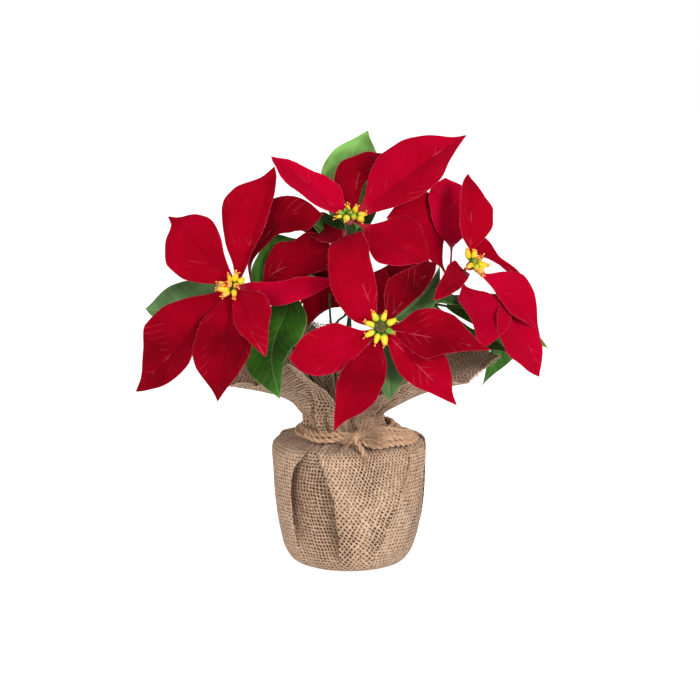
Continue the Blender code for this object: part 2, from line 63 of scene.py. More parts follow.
BLOOMS = {
    "left": Bloom(
        centre=(-74, -18, 188), axis=(-0.35, -0.85, 0.35), foot=(-12, -4),
        bracts=(
            Blade((56, 6, 46), ((0.8, 2, 10, 17, 14, 7.5), (0.8, 2, 4, 6, 12, 11)), bow=1, stalk=0.24,
                  tone=0.12, root=(11, 26, -11),
                  way=((9.3, 20, 13.3), (20.5, 14, 30.5), (36.4, 9, 44.8))),
            Blade((66, 12, 22), ((1.3, 9, 16.5, 14.5, 16, 9), (6, 10, 12, 13, 13, 10)), bow=1, fold=20,
                  stalk=0.05, tone=0.22, root=(12, 14, -6.5), way=((25, 13, 6.5), (45, 12, 14.7))),
            Blade((68, -6, 4), ((2, 1.5, 1.5, 2.5, 3, 2), (8, 15, 17, 14.5, 10, 4)), bow=3, fold=26,
                  tone=0.9),
            Blade((25, 16, 76), ((6, 15.5, 21.5, 24, 20, 6.5), (3, 4.5, 6.5, 6.5, 7.5, 4.5)), fold=22,
                  sway=3, tone=0.45),
            Blade((-45, 20, 43), ((8, 16, 21, 21.5, 13.5, 2), (5, 10, 17, 20.5, 16, 5)), bow=6, fold=16,
                  tone=0.42),
            Blade((-66, -3, -69), ((2, 4, 10, 18.5, 16, 7), (8, 18, 23, 23.5, 14, 4)), bow=7, fold=26,
                  sway=-4, tone=0.25),
            Blade((-11, -29, -70), ((3, 9, 16.5, 21, 16, 5), (7, 15, 19.5, 20, 16.5, 6.5)), bow=5,
                  fold=22, sway=-3, tone=0.22),
            Blade((20, -38, -39), ((5, 14, 18.5, 18.5, 14, 7), (3, 6.5, 8.5, 7.5, 5, 2.5)), bow=5,
                  fold=12, tone=0.6),
        ),
        leaves=(
            (0.86, Blade((-61, 22, -18), ((6, 12, 15, 14, 12, 6), (6, 14, 19, 20, 17, 9)), bow=3,
                         fold=12, sway=-3, tone=0.55)),
            (0.82, Blade((29, -31, -68), ((0.8, 6, 19, 20, 12, 4.5), (0.8, 9, 15, 18, 17, 8)), bow=2,
                         stalk=0.2, tone=0.18, root=(4, 14, -6),
                         way=((20, 13, -4), (34, 8, -13), (25, -10, -42)))),
            (0.9, Blade((40, 25, 28), ((6, 10, 12, 13, 12.5, 8), (4, 6, 6, 4.5, 3, 2.5)), bow=3,
                        fold=26, tone=0.15)),
        ),
    ),
    "top": Bloom(
        centre=(1, -5, 230), axis=(0.1, -0.65, 0.75), foot=(3, 12),
        bracts=(
            Blade((23, 40, 41), ((4, 10, 15, 14, 6, 2.5), (2, 3, 4.5, 9, 9.5, 5)), bow=3, fold=22,
                  sway=-9, tone=0.3),
            Blade((-39, 8, -7), ((8, 16, 18, 11, 4, 1.5), (0.8, 3, 4.6, 5, 4, 2)), bow=1, fold=24,
                  tone=0.001, root=(-1.2, 8, -9.2)),
            Blade((-51, 12, 41), ((5, 11, 15, 16, 13.5, 7), (6, 11.5, 11.5, 8.5, 5.5, 2.5)), bow=1,
                  fold=26, tone=1.0),
            Blade((76, 25, 54), ((5, 16, 22, 21.5, 14, 3.5), (8, 16.5, 20.5, 21, 13, 4.5)), bow=5,
                  fold=20, stalk=0.12, sway=2),
            Blade((52, -21, -27), ((2, 10, 22, 24, 18, 9), (2, 10, 17, 22, 17, 4)), fold=10, stalk=0.2,
                  sway=3, tone=0.55),
        ),
        leaves=(
            (0.86, Blade((12, 58, 54), ((5, 12, 17, 18, 13, 3), (5, 10, 15, 18.5, 18.5, 11)), sway=-9,
                         tone=1.0)),
            (0.9, Blade((-32, 4, 2), ((4, 7, 7, 6, 4, 2), (9, 14, 14.5, 12.5, 9, 4)), bow=1, fold=8,
                        tone=0.05)),
            (0.88, Blade((17, 46, 24), 18, bow=2, tone=0.05)),
        ),
    ),
    "right": Bloom(
        centre=(80, -8, 200), axis=(0.45, -0.75, 0.45), foot=(13, -2),
        bracts=(
            # Its high tone is painted light, drawing it lighter than the shade it lies in.
            Blade((-15, 38, 54), ((0.8, 0.9, 13, 19, 20, 14), (0.8, 0.9, 9, 8.5, 9, 10)), bow=1,
                  fold=20, stalk=0.33, tone=1.0, root=(-13.5, 22.5, -13.5),
                  way=((-11.9, 26, 11.2), (-12.6, 32, 31))),
            Blade((-54, 9, 31), ((1, 7, 9, 9, 8, 6), (1, 7, 17, 27, 28, 20)), bow=1, fold=16, tone=0.6,
                  root=(-13.5, 22, -13.5), way=((-22.5, 20, 4.2), (-36.4, 14, 20.7))),
            Blade((39, 22, -15), ((1, 8, 6, 3.5, 3, 2), (1, 7, 5, 3.5, 3.5, 2)), bow=1, fold=20,
                  stalk=0.2, way=((4.6, 14, 9), (18.5, 18, -0.1))),
            Blade((-1, 22, 58), ((1.2, 7.5, 10.5, 11, 9.5, 5), (1.2, 8.5, 14, 14.5, 8.5, 2.5)), fold=24,
                  sway=-1),
            Blade((47, 0, -47), ((2.5, 13, 19.5, 15.5, 9.5, 3), (0.8, 1.6, 6, 9.5, 6.5, 2)), fold=20,
                  stalk=0.14, tone=0.8),
            Blade((45, -16, -70), ((0.8, 1.5, 6, 9, 8.5, 5), (0.8, 3, 18, 23, 23, 12)), bow=2, fold=22,
                  stalk=0.26, root=(6, 8, -3), way=((21, 2, -22.5),)),
            Blade((7, -32, -48), ((1.5, 12, 21, 24, 20, 10), (1.5, 6, 11, 10, 6.5, 4)), bow=2, fold=20,
                  stalk=0.13, tone=0.85, root=(-6.3, 10.5, -6.3), way=((-4.6, 4, -15.2),)),
            Blade((-24, -37, -16), ((2, 3, 3.5, 4, 3.5, 2.5), (8, 13, 13, 12, 9.5, 5)), bow=3, fold=20,
                  root=(-1, 6, -6.5)),
        ),
        leaves=(
            (0.86, Blade((54, 19, -58), 24, bow=3, tone=0.3)),
            (0.8, Blade((28, -4, -57), 14, bow=1, tone=0.3, way=((-4, 6, -47), (12, 2, -53)))),
            (0.8, Blade((11, 22, -84), 30, bow=1, fold=20, tone=0.3,
                        way=((20, 20, -38), (23, 26, -56)))),
            (0.88, Blade((-23, -16, -22), 24, bow=3, tone=0.08)),
        ),
    ),
    "front": Bloom(
        centre=(20, -53, 166), axis=(0.03, -0.97, 0.22), foot=(2, -13),
        bracts=(
            # Its low tone is a painted shadow, cast by the top bloom's bract above it.
            Blade((37, 32, 38), ((4, 12, 16, 13, 9, 5.5), (2, 3.5, 5, 6, 5, 2.5)), bow=3, fold=20,
                  tone=0.01),
            Blade((-25, 36, 54), ((14, 18.5, 20, 18, 14, 8), (2, 6.5, 9, 10.5, 13, 13)), bow=11,
                  fold=18, tone=0.45),
            Blade((-57, -12, -17), ((5, 9, 11.5, 14, 13.5, 8), (2, 8.5, 15, 16, 15, 10)), bow=3,
                  fold=20, sway=-4),
            # Its low tone paints the shade on the upper half of its fold.
            Blade((70, -1, -14), ((5, 15, 18, 16.5, 8.5, 2.5), (4, 10, 14, 9, 5, 2)), bow=7.5, fold=22,
                  tone=0.25),
            Blade((48, -13, -47), ((3, 7, 11.5, 16.5, 11.5, 3.5), (4, 9, 12, 11, 7, 3)), bow=1,
                  fold=18),
            Blade((-29, -21, -62), ((6, 13.5, 16, 16, 11.5, 3), (2, 6.5, 11, 11.5, 7.5, 3.5)), bow=5,
                  fold=16, tone=0.3),
        ),
        leaves=(
            (0.88, Blade((39, 40, 34), ((3, 4, 3.5, 2.5, 2, 1.5), (2, 4, 7, 9.5, 7, 2.5)), bow=3,
                         sway=5, tone=0.5)),
            (0.86, Blade((5, -6, -46), 26, bow=3, sway=-3, tone=0.6)),
        ),
    ),
    "back": Bloom(
        centre=(2, 46, 184), axis=(0.05, 0.62, 0.78), foot=(-6, 10),
        bracts=(
            Blade((-30, -26, -28), ((4, 9, 8, 3, 1.2, 0.7), (5, 11, 15, 16, 16, 8)), roll=-104,
                  tone=0.45),
            Blade((32, -20, -18), ((4, 12, 18, 15, 9, 3), (4, 9, 14, 17, 12, 4)), roll=108, tone=0.35),
            Blade((-60, 8, 0), ((4, 9, 14, 17, 12, 4), (4, 12, 18, 15, 9, 3)), fold=20),
            Blade((60, 10, -4), ((4, 12, 18, 15, 9, 3), (4, 9, 14, 17, 12, 4)), fold=20),
            Blade((-36, 48, -24), ((4, 11, 17, 20, 14, 5), (5, 13, 19, 17, 11, 4)), bow=6, fold=20),
            Blade((38, 48, -26), ((4, 12, 19, 18, 12, 5), (4, 10, 16, 19, 13, 4)), bow=6, fold=18),
            Blade((2, 56, -34), ((4, 10, 17, 20, 15, 5), (5, 12, 18, 19, 14, 6)), bow=6, fold=22),
        ),
        leaves=(
            (0.93, Blade((-60, 28, -4), 32, tone=0.3)),
            (0.84, Blade((60, 30, -24), 32, tone=0.5)),
            (0.86, Blade((22, 54, -44), 30, tone=0.2)),
        ),
    ),
}

# The cyathia of a bloom: offset right and up from its centre, height above the core, the way the
# mouth points (right, the way the bloom faces, up), length, girth, how ripe and how open.
Cup = namedtuple("Cup", "x z rise aim length girth ripe mouth")

CUPS = {
    "left": (
        Cup(-2.2, 4.0, 3.5, (-0.3, 0.5, 0.8), 6.6, 3.3, 0.80, 0.6),
        Cup(2.6, 4.6, 4.0, (0.25, 0.5, 0.9), 7.6, 4.2, 0.78, 0.7),
        Cup(8.2, 1.6, 3.0, (0.6, 0.5, 0.7), 6.0, 4.4, 0.62, 0.0),
        Cup(-2.4, -0.6, 5.6, (-0.45, 1.0, 0.15), 6.8, 5.0, 0.95, 1.0),
        Cup(5.4, -2.2, 5.4, (0.2, 1.0, -0.15), 4.6, 3.6, 0.9, 1.0),
        Cup(-5.6, -4.4, 4.0, (-1.0, 0.6, 0.15), 10.2, 5.2, 0.85, 0.3),
        Cup(-3.6, -8.2, 3.0, (-0.8, 0.7, -0.45), 7.2, 3.8, 0.92, 0.9),
        Cup(3.4, -8.0, 3.6, (0.1, 0.8, -0.8), 6.0, 3.6, 0.82, 0.8),
        Cup(-9.0, 1.2, 2.4, (-1.0, 0.5, 0.4), 6.2, 2.8, 0.84, 0.5),
    ),
    "top": (
        Cup(-7.4, 0.6, 3.4, (-0.8, 0.6, 0.4), 5.6, 4.2, 0.25, 0.2),
        Cup(-1.4, 7.2, 2.6, (-0.2, 0.4, 1.0), 6.6, 2.8, 0.72, 0.7),
        Cup(3.6, 6.2, 3.2, (0.3, 0.5, 0.9), 7.0, 3.9, 0.66, 0.6),
        Cup(-1.0, -0.2, 5.4, (0.0, 1.0, 0.2), 5.4, 4.4, 0.15, 0.0),
        Cup(-4.6, -7.4, 4.0, (-0.2, 0.9, -0.5), 5.2, 4.6, 0.52, 0.0),
        Cup(1.6, -5.2, 5.0, (0.1, 1.0, -0.4), 5.0, 3.6, 0.40, 0.0),
        Cup(7.6, -5.8, 3.6, (0.5, 0.8, -0.4), 5.4, 4.6, 0.55, 0.0),
        Cup(8.2, 0.2, 3.4, (1.0, 0.6, 0.2), 6.4, 4.0, 0.60, 0.7),
        Cup(-9.8, -3.4, 2.4, (-0.9, 0.6, -0.1), 5.0, 2.6, 0.75, 0.5),
        Cup(-4.0, 3.8, 4.4, (-0.3, 0.9, 0.5), 5.0, 3.8, 0.12, 0.0),
    ),
    "right": (
        Cup(-5.8, 6.6, 3.0, (-0.2, 0.5, 1.0), 8.8, 3.8, 0.78, 0.3),
        Cup(0.8, 6.8, 3.4, (0.15, 0.5, 1.0), 8.0, 4.2, 0.72, 0.5),
        Cup(4.8, 4.6, 4.6, (0.6, 0.8, 0.6), 5.4, 4.2, 0.96, 1.0),
        Cup(-1.0, 0.8, 5.0, (0.0, 1.0, 0.2), 5.0, 4.8, 0.15, 0.0),
        Cup(5.2, -1.4, 4.4, (1.0, 0.6, 0.0), 9.0, 4.8, 0.8, 0.3),
        Cup(3.6, -7.2, 4.0, (0.45, 0.8, -0.7), 6.4, 5.0, 0.93, 1.0),
        Cup(-5.4, -3.4, 3.6, (-0.8, 0.7, -0.4), 6.4, 3.4, 0.82, 0.6),
        Cup(-0.6, -4.4, 4.8, (-0.1, 1.0, -0.5), 5.4, 3.8, 0.45, 0.0),
    ),
    "front": (
        Cup(-4.0, 7.6, 3.0, (-0.45, 0.35, 1.0), 7.6, 4.2, 0.52, 0.4),
        Cup(2.4, 7.8, 3.2, (0.3, 0.35, 1.0), 7.6, 3.8, 0.60, 0.4),
        Cup(7.4, 3.8, 3.0, (1.0, 0.35, 0.6), 8.0, 4.4, 0.58, 0.3),
        Cup(5.8, -2.6, 3.0, (1.0, 0.4, -0.3), 6.6, 4.2, 0.25, 0.2),
        Cup(2.8, -8.8, 3.4, (0.15, 0.4, -1.0), 8.0, 4.6, 0.70, 0.3),
        Cup(-2.8, -7.8, 3.4, (-0.35, 0.4, -1.0), 7.4, 3.6, 0.72, 0.3),
        Cup(-7.6, -4.4, 3.2, (-1.0, 0.35, -0.55), 7.8, 4.2, 0.58, 0.3),
        Cup(-7.4, 2.2, 3.0, (-1.0, 0.35, 0.5), 7.4, 4.0, 0.66, 0.6),
    ),
    "back": (
        Cup(0.0, 6.0, 3.4, (0.1, 0.8, 0.8), 7.0, 4.2, 0.75, 0.5),
        Cup(5.6, 2.4, 3.4, (0.8, 0.8, 0.3), 6.6, 4.2, 0.6, 0.3),
        Cup(4.2, -5.0, 3.4, (0.6, 0.8, -0.6), 6.8, 4.0, 0.8, 0.8),
        Cup(-3.6, -5.4, 3.4, (-0.5, 0.8, -0.6), 6.8, 4.2, 0.7, 0.3),
        Cup(-6.0, 1.8, 3.4, (-0.9, 0.8, 0.2), 6.6, 4.0, 0.5, 0.6),
        Cup(0.0, 0.0, 5.4, (0.0, 1.0, 0.1), 5.4, 4.6, 0.2, 0.0),
    ),
}

# Thin side stems, seen in the gaps between the blooms.
TWIGS = {
    "back": (
        ((-6, 10, 92), (-10, 13, 135), (-12.2, 15, 159), (-12.8, 15, 168), (-13, 18, 178)),
        ((-11.4, 14.5, 150), (-8, 15, 158.6), (-3.3, 15, 162.6), (4, 18, 168)),
    ),
}
# How far the core that holds the bracts reaches below and above a bloom's centre, and the heights
# between which a stem stands in the filler.
CORE_BELOW, CORE_ABOVE = 4.5, 1.6
HOLE_FLOOR, PLUG_TOP = 40.4, 73.0


# Arrays and meshes.


def unit(vector):
    """Vectors at length 1, along the last axis."""
    vector = np.asarray(vector, float)
    return vector / np.maximum(np.linalg.norm(vector, axis=-1, keepdims=True), 1e-9)


def ease(low, high, value):
    """0 at low, 1 at high, smooth between."""
    t = np.clip((value - low) / (high - low), 0.0, 1.0)
    return t * t * (3 - 2 * t)


def distance_along(path):
    """How far along a path each of its points lies."""
    return np.r_[0.0, np.cumsum(np.linalg.norm(np.diff(path, axis=0), axis=1))]


def points_at(path, run, at):
    """The points of a path at distances along it, where run holds those of its own points."""
    return np.stack([np.interp(at, run, path[:, k]) for k in range(3)], axis=-1)


def circle(first, second, angle):
    """Points at these angles round a circle of radius 1, in the plane of two unit vectors, for each row."""
    return first[:, None] * np.cos(angle)[None, :, None] + second[:, None] * np.sin(angle)[None, :, None]


def grid_faces(rows, columns, wrap=False):
    """Quads of a rows by columns grid, its last column joined to the first where it wraps."""
    i, j = np.meshgrid(np.arange(rows - 1), np.arange(columns - (not wrap)), indexing="ij")
    a = i * columns + j
    b = i * columns + (j + 1) % columns
    return np.stack([a, b, b + columns, a + columns], axis=-1).reshape(-1, 4)


def slab_faces(rows, columns):
    """Quads of two grids, the second under the first, with a wall between them all round the rim."""
    count = rows * columns
    sheet = grid_faces(rows, columns)
    rim = np.r_[np.arange(rows) * columns, (rows - 1) * columns + np.arange(1, columns),
                (np.arange(rows - 2, -1, -1) + 1) * columns - 1, np.arange(columns - 2, 0, -1)]
    follow = np.roll(rim, -1)
    wall = np.stack([rim, follow, follow + count, rim + count], axis=1)
    return np.concatenate([sheet, sheet[:, ::-1] + count, wall])


def stack(parts):
    """Several (points, faces, extras) as one, the extras being a dict of one value for each point."""
    points, faces, start = [], [], 0
    for part in parts:
        points.append(part[0])
        faces.append(part[1] + start)
        start += len(part[0])
    extras = {key: np.concatenate([part[2][key] for part in parts]) for key in parts[0][2]}
    return np.concatenate(points), np.concatenate(faces), extras


def dressed(part, **values):
    """A part that keeps its UV and has these values at its points."""
    points, faces, extras = part
    levels = {key: np.full(len(points), value, float) for key, value in values.items()}
    return points, faces, {"uv": extras["uv"], **levels}


def build(name, part, finish, node=None):
    """A piece from points in millimetres, with its UV map and its float attributes. It rides on the
    root body, takes a finish and a material slot, and hides the part of a CAD node where it is given one."""
    points, faces, extras = part
    mesh = bpy.data.meshes.new(name)
    count, corners = faces.shape
    mesh.vertices.add(len(points))
    mesh.vertices.foreach_set("co", (points * MM).astype(np.float32).ravel())
    mesh.loops.add(count * corners)
    mesh.loops.foreach_set("vertex_index", faces.astype(np.int32).ravel())
    mesh.polygons.add(count)
    mesh.polygons.foreach_set("loop_start", np.arange(0, count * corners, corners, dtype=np.int32))
    mesh.update(calc_edges=True)
    mesh.polygons.foreach_set("use_smooth", np.ones(count, bool))
    for key, value in extras.items():
        if key in ("uv", "corner_uv"):
            flat = value[faces.ravel()] if key == "uv" else value
            layer = mesh.uv_layers.new(name="UVMap")
            layer.uv.foreach_set("vector", flat.astype(np.float32).ravel())
        else:
            levels = mesh.attributes.new(key, "FLOAT", "POINT")
            levels.data.foreach_set("value", value.astype(np.float32))
    mesh.materials.append(finish)
    piece = bpy.data.objects.new(name, mesh)
    bpy.context.scene.collection.objects.link(piece)
    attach(piece, "root")
    if node:
        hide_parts(node)
    return piece


def tube(path, radius, sides, reference, loop=False, tone=0.0):
    """A profile carried along a path: a circle of the given radius at each point, in the plane square
    to the path and started square to the reference direction. The ends close onto the path's end
    points. UV is the share round it and the length."""
    path = np.asarray(path, float)
    if loop:
        ahead, behind = np.roll(path, -1, 0), np.roll(path, 1, 0)
    else:
        ahead, behind = np.r_[path[1:], path[-1:]], np.r_[path[:1], path[:-1]]
    tangent = unit(ahead - behind)
    first = unit(np.cross(tangent, reference))
    second = np.cross(tangent, first)
    radius = np.broadcast_to(np.asarray(radius, float), len(path))
    run = distance_along(path)
    if not loop:
        path, first, second = (np.r_[a[:1], a, a[-1:]] for a in (path, first, second))
        radius = np.r_[0.002, radius, 0.002]
        run = np.r_[run[:1], run, run[-1:]]
    angle = np.arange(sides) * TAU / sides
    points = path[:, None] + circle(first, second, angle) * radius[:, None, None]
    rows = len(path)
    faces = grid_faces(rows, sides, wrap=True)
    if loop:
        last = (rows - 1) * sides
        j = np.arange(sides)
        faces = np.r_[faces, np.stack([last + j, last + (j + 1) % sides, (j + 1) % sides, j], axis=1)]
    uv = np.stack(np.broadcast_arrays(angle[None, :] / TAU, run[:, None]), axis=-1)
    return points.reshape(-1, 3), faces[:, ::-1], {
        "uv": uv.reshape(-1, 2), "tone": np.full(rows * sides, tone, float)}


def fibres(roots, heading, length, radius, bend, tones):
    """Thin tapering hairs: root + heading*length*t + bend*length*t*t, as three-sided spikes of four
    rings."""
    taper = np.array([1.0, 0.9, 0.65, 0.12])
    rings, sides = len(taper), 3
    t = np.linspace(0.0, 1.0, rings)[None, :, None]
    heading = unit(heading)
    length = np.asarray(length, float).reshape(-1, 1, 1)
    path = roots[:, None] + (heading[:, None] * t + bend[:, None] * t * t) * length
    side = unit(np.cross(heading, (0.31, 0.52, 0.8)))
    angle = np.arange(sides) * TAU / sides
    ring = circle(side, np.cross(heading, side), angle)
    points = path[:, :, None] + ring[:, None] * (radius * taper)[None, :, None, None]
    each = rings * sides
    faces = grid_faces(rings, sides, wrap=True)[None] + (np.arange(len(roots)) * each)[:, None, None]
    uv = np.stack(np.broadcast_arrays(angle[None, None] / TAU, t[..., 0][:, :, None] * length), axis=-1)
    return points.reshape(-1, 3), faces.reshape(-1, 4), {
        "uv": uv.reshape(-1, 2), "tone": np.repeat(tones, each)}


def smooth_line(points, count, loop=False):
    """A Catmull-Rom curve through a few points, sampled count times."""
    points = np.asarray(points, float)
    if loop:
        knots = np.r_[points[-1:], points, points[:2]]
        spans = len(points)
        t = np.linspace(0, spans, count, endpoint=False)
    else:
        knots = np.r_[2 * points[:1] - points[1:2], points, 2 * points[-1:] - points[-2:-1]]
        spans = len(points) - 1
        t = np.linspace(0, spans, count)
    i = np.minimum(t.astype(int), spans - 1)
    f = (t - i)[:, None]
    a, b, c, d = knots[i], knots[i + 1], knots[i + 2], knots[i + 3]
    return 0.5 * (2 * b + (c - a) * f + (2 * a - 5 * b + 4 * c - d) * f**2
                  + (3 * b - a - 3 * c + d) * f**3)


# Materials.


class Graph:
    """The node tree of one new Principled material, with short calls for the nodes used here. A value
    is a number, a colour or another node's output."""

    def __init__(self, name, roughness, **levels):
        self.material = bpy.data.materials.new(name)
        self.material.use_nodes = True
        self.tree = self.material.node_tree
        self.shader = self.tree.nodes["Principled BSDF"]
        self.shader.inputs["Roughness"].default_value = roughness
        for key, value in levels.items():
            self.shader.inputs[key.replace("_", " ")].default_value = value

    def node(self, kind, **settings):
        made = self.tree.nodes.new(kind)
        for key, value in settings.items():
            setattr(made, key, value)
        return made

    def put(self, value, socket):
        """Link another node's output to a socket, or set the socket to a number or colour."""
        if isinstance(value, bpy.types.NodeSocket):
            self.tree.links.new(value, socket)
        elif isinstance(value, tuple) and socket.type == "RGBA":
            socket.default_value = (*value, 1.0)
        else:
            socket.default_value = value

    def fed(self, made, *values):
        """A node with its first sockets filled in order."""
        for value, socket in zip(values, made.inputs):
            self.put(value, socket)
        return made

    def math(self, operation, *values):
        return self.fed(self.node("ShaderNodeMath", operation=operation), *values).outputs[0]

    def plus(self, first, second):
        return self.math("ADD", first, second)

    def minus(self, first, second):
        return self.math("SUBTRACT", first, second)

    def times(self, first, second):
        return self.math("MULTIPLY", first, second)

    def weigh(self, *pairs):
        """The sum of several values, each times its weight."""
        total, *rest = [self.times(value, weight) for value, weight in pairs]
        for term in rest:
            total = self.plus(total, term)
        return total

    def span(self, value, low, high, to_low=0.0, to_high=1.0):
        """A value eased from to_low, where it is low, to to_high, where it is high."""
        made = self.node("ShaderNodeMapRange", interpolation_type="SMOOTHSTEP")
        return self.fed(made, value, low, high, to_low, to_high).outputs[0]

    def mix(self, share, first, second, blend="MIX"):
        made = self.node("ShaderNodeMix", data_type="RGBA", blend_type=blend)
        for value, socket in ((share, 0), (first, 6), (second, 7)):
            self.put(value, made.inputs[socket])
        return made.outputs[2]

    def tint(self, colour, mask, share, other):
        """A colour that goes over to another by a share, where the mask is 1."""
        return self.mix(self.times(mask, share), colour, other)

    def ramp(self, value, *stops):
        made = self.fed(self.node("ShaderNodeValToRGB"), value)
        elements = made.color_ramp.elements
        while len(elements) < len(stops):
            elements.new(0.5)
        for element, (place, colour) in zip(elements, stops):
            element.position = place
            element.color = (*colour, 1.0)
        return made.outputs[0]

    def attribute(self, name):
        return self.node("ShaderNodeAttribute", attribute_name=name).outputs["Fac"]

    def uv(self):
        return self.node("ShaderNodeUVMap", uv_map="UVMap").outputs[0]

    def place(self):
        return self.node("ShaderNodeTexCoord").outputs["Object"]

    def split(self, vector):
        return self.fed(self.node("ShaderNodeSeparateXYZ"), vector).outputs

    def join(self, x, y, z=0.0):
        return self.fed(self.node("ShaderNodeCombineXYZ"), x, y, z).outputs[0]

    def scaled(self, vector, x, y, z=1.0):
        made = self.fed(self.node("ShaderNodeVectorMath", operation="MULTIPLY"), vector)
        made.inputs[1].default_value = (x, y, z)
        return made.outputs[0]

    def noise(self, vector, scale, detail, rough=0.5):
        made = self.node("ShaderNodeTexNoise")
        for key, value in (("Vector", vector), ("Scale", scale), ("Detail", detail), ("Roughness", rough)):
            self.put(value, made.inputs[key])
        return made.outputs[0]

    def cells(self, vector, scale):
        """How far each point lies from the nearest of scattered points."""
        made = self.node("ShaderNodeTexVoronoi", feature="F1")
        for key, value in (("Vector", vector), ("Scale", scale)):
            self.put(value, made.inputs[key])
        return made.outputs[0]

    def finish(self, colour, height=None, depth=0.0002, strength=0.6):
        """The material, with its colour and, where a height is given, a bump of this depth in metres."""
        self.put(colour, self.shader.inputs["Base Color"])
        if height is not None:
            bump = self.node("ShaderNodeBump")
            for key, value in (("Strength", strength), ("Distance", depth), ("Height", height)):
                self.put(value, bump.inputs[key])
            self.tree.links.new(bump.outputs[0], self.shader.inputs["Normal"])
        return self.material


# Side veins leave the midrib every VEIN_PITCH millimetres and climb by VEIN_SLANT times the distance
# from it to the power VEIN_BEND.
VEIN_PITCH, VEIN_SLANT, VEIN_BEND = 7.0, 0.9, 1.15


def vein_lines(graph, spacing, slant, width, midrib):
    """Two masks from the blade's UV map in millimetres: its midrib, and side veins that leave it on
    a slant."""
    x, y, _ = graph.split(graph.uv())
    out = graph.math("ABSOLUTE", x)
    rib = graph.span(out, midrib, 0.0)
    along = graph.minus(y, graph.times(graph.math("POWER", out, VEIN_BEND), slant))
    turn = graph.math("PINGPONG", graph.math("DIVIDE", along, spacing), 0.5)
    return rib, graph.span(turn, width / spacing, 0.0)


def velvet():
    """Crimson flocked cloth: mottled nap, paler cut edges, and broken pale marks along the veins."""
    graph = Graph("crimson_velvet", 0.9, Sheen_Weight=0.10, Sheen_Roughness=0.4,
                  Sheen_Tint=(1.0, 0.06, 0.20, 1.0), Specular_IOR_Level=0.03)
    place = graph.place()
    patches = graph.noise(place, 38.0, 3.0)
    nap = graph.noise(place, 900.0, 2.0, 0.7)
    # Darker or lighter by broad patches and by the blade's tone, which holds painted shade and painted light
    # as well as the velvet's own uneven colour.
    colour = graph.ramp(
        graph.weigh((patches, 0.5), (graph.attribute("tone"), 0.5)),
        (0.2, (0.085, 0.0, 0.002)), (0.5, (0.29, 0.0, 0.009)), (0.8, (0.43, 0.0002, 0.022)))
    rib, veins = vein_lines(graph, VEIN_PITCH, VEIN_SLANT, 0.5, 0.55)
    worn = graph.span(graph.noise(place, 62.0, 2.0), 0.54, 0.68)
    marks = graph.times(graph.math("MAXIMUM", rib, graph.times(veins, 0.5)), worn)
    colour = graph.tint(colour, marks, 0.42, (0.66, 0.10, 0.15))
    rim = graph.span(graph.plus(graph.attribute("inset"), graph.times(nap, 0.6)), 0.85, 0.30)
    colour = graph.tint(colour, rim, 0.30, (0.62, 0.05, 0.11))
    colour = graph.tint(colour, graph.attribute("stalk"), 0.85, (0.42, 0.09, 0.12))
    relief = graph.weigh((nap, 0.5), (rib, -0.5), (veins, -0.28))
    return graph.finish(colour, relief, 0.00035, 0.55)


def leaf_cloth():
    """Printed green cloth: deep green to grey green to pale by the leaf's own tone, with paler veins."""
    graph = Graph("green_leaf_cloth", 0.6, Specular_IOR_Level=0.18)
    place = graph.place()
    colour = graph.ramp(
        graph.attribute("tone"), (0.0, (0.010, 0.040, 0.002)), (0.25, (0.030, 0.135, 0.003)),
        (0.5, (0.055, 0.125, 0.032)), (0.7, (0.09, 0.19, 0.07)), (1.0, (0.17, 0.38, 0.075)))
    speckle = graph.span(graph.noise(place, 420.0, 3.0, 0.65), 0.35, 0.75)
    shade = graph.span(graph.noise(place, 45.0, 2.0), 0.3, 0.7, 0.55, 1.45)
    colour = graph.mix(1.0, colour, graph.join(shade, shade, shade), "MULTIPLY")
    colour = graph.tint(colour, speckle, 0.14, (0.12, 0.24, 0.07))
    rib, veins = vein_lines(graph, 7.5, 0.8, 0.45, 0.6)
    lines = graph.math("MAXIMUM", rib, graph.times(veins, 0.5))
    colour = graph.tint(colour, lines, 0.42, (0.25, 0.38, 0.16))
    rim = graph.span(graph.attribute("inset"), 0.8, 0.2)
    colour = graph.tint(colour, rim, 0.5, (0.30, 0.36, 0.16))
    return graph.finish(colour, graph.weigh((lines, 0.6), (speckle, 0.25)), 0.00035, 0.6)


def stem_tape():
    """Dark green paper tape wound round wire: a slanted band every three millimetres."""
    graph = Graph("green_stem_tape", 0.6, Specular_IOR_Level=0.3)
    u, v, _ = graph.split(graph.uv())
    band = graph.math("FRACT", graph.plus(u, graph.math("DIVIDE", v, 3.2)))
    edge = graph.span(band, 0.86, 0.99)
    grain = graph.noise(graph.place(), 600.0, 3.0, 0.6)
    colour = graph.ramp(grain, (0.3, (0.012, 0.035, 0.012)), (0.7, (0.035, 0.085, 0.03)))
    colour = graph.tint(colour, edge, 0.5, (0.06, 0.13, 0.05))
    return graph.finish(colour, graph.plus(edge, graph.times(grain, 0.4)), 0.0002, 0.6)


def cup_plastic():
    """Moulded cyathia: green at the foot, yellow, then orange at the lip and red in the mouth."""
    graph = Graph("cyathia_plastic", 0.42, Specular_IOR_Level=0.4, Subsurface_Weight=0.12,
                  Subsurface_Radius=(0.0012, 0.0008, 0.0003))
    grain = graph.noise(graph.place(), 420.0, 3.0)
    value = graph.plus(graph.attribute("ripe"), graph.times(graph.minus(grain, 0.5), 0.16))
    colour = graph.ramp(
        value, (0.0, (0.035, 0.09, 0.015)), (0.18, (0.12, 0.27, 0.02)), (0.34, (0.42, 0.50, 0.025)),
        (0.48, (0.84, 0.60, 0.02)), (0.64, (0.92, 0.56, 0.015)), (0.76, (0.90, 0.40, 0.10)),
        (0.86, (0.80, 0.13, 0.02)), (1.0, (0.42, 0.01, 0.005)))
    return graph.finish(colour, grain, 0.0003, 0.4)


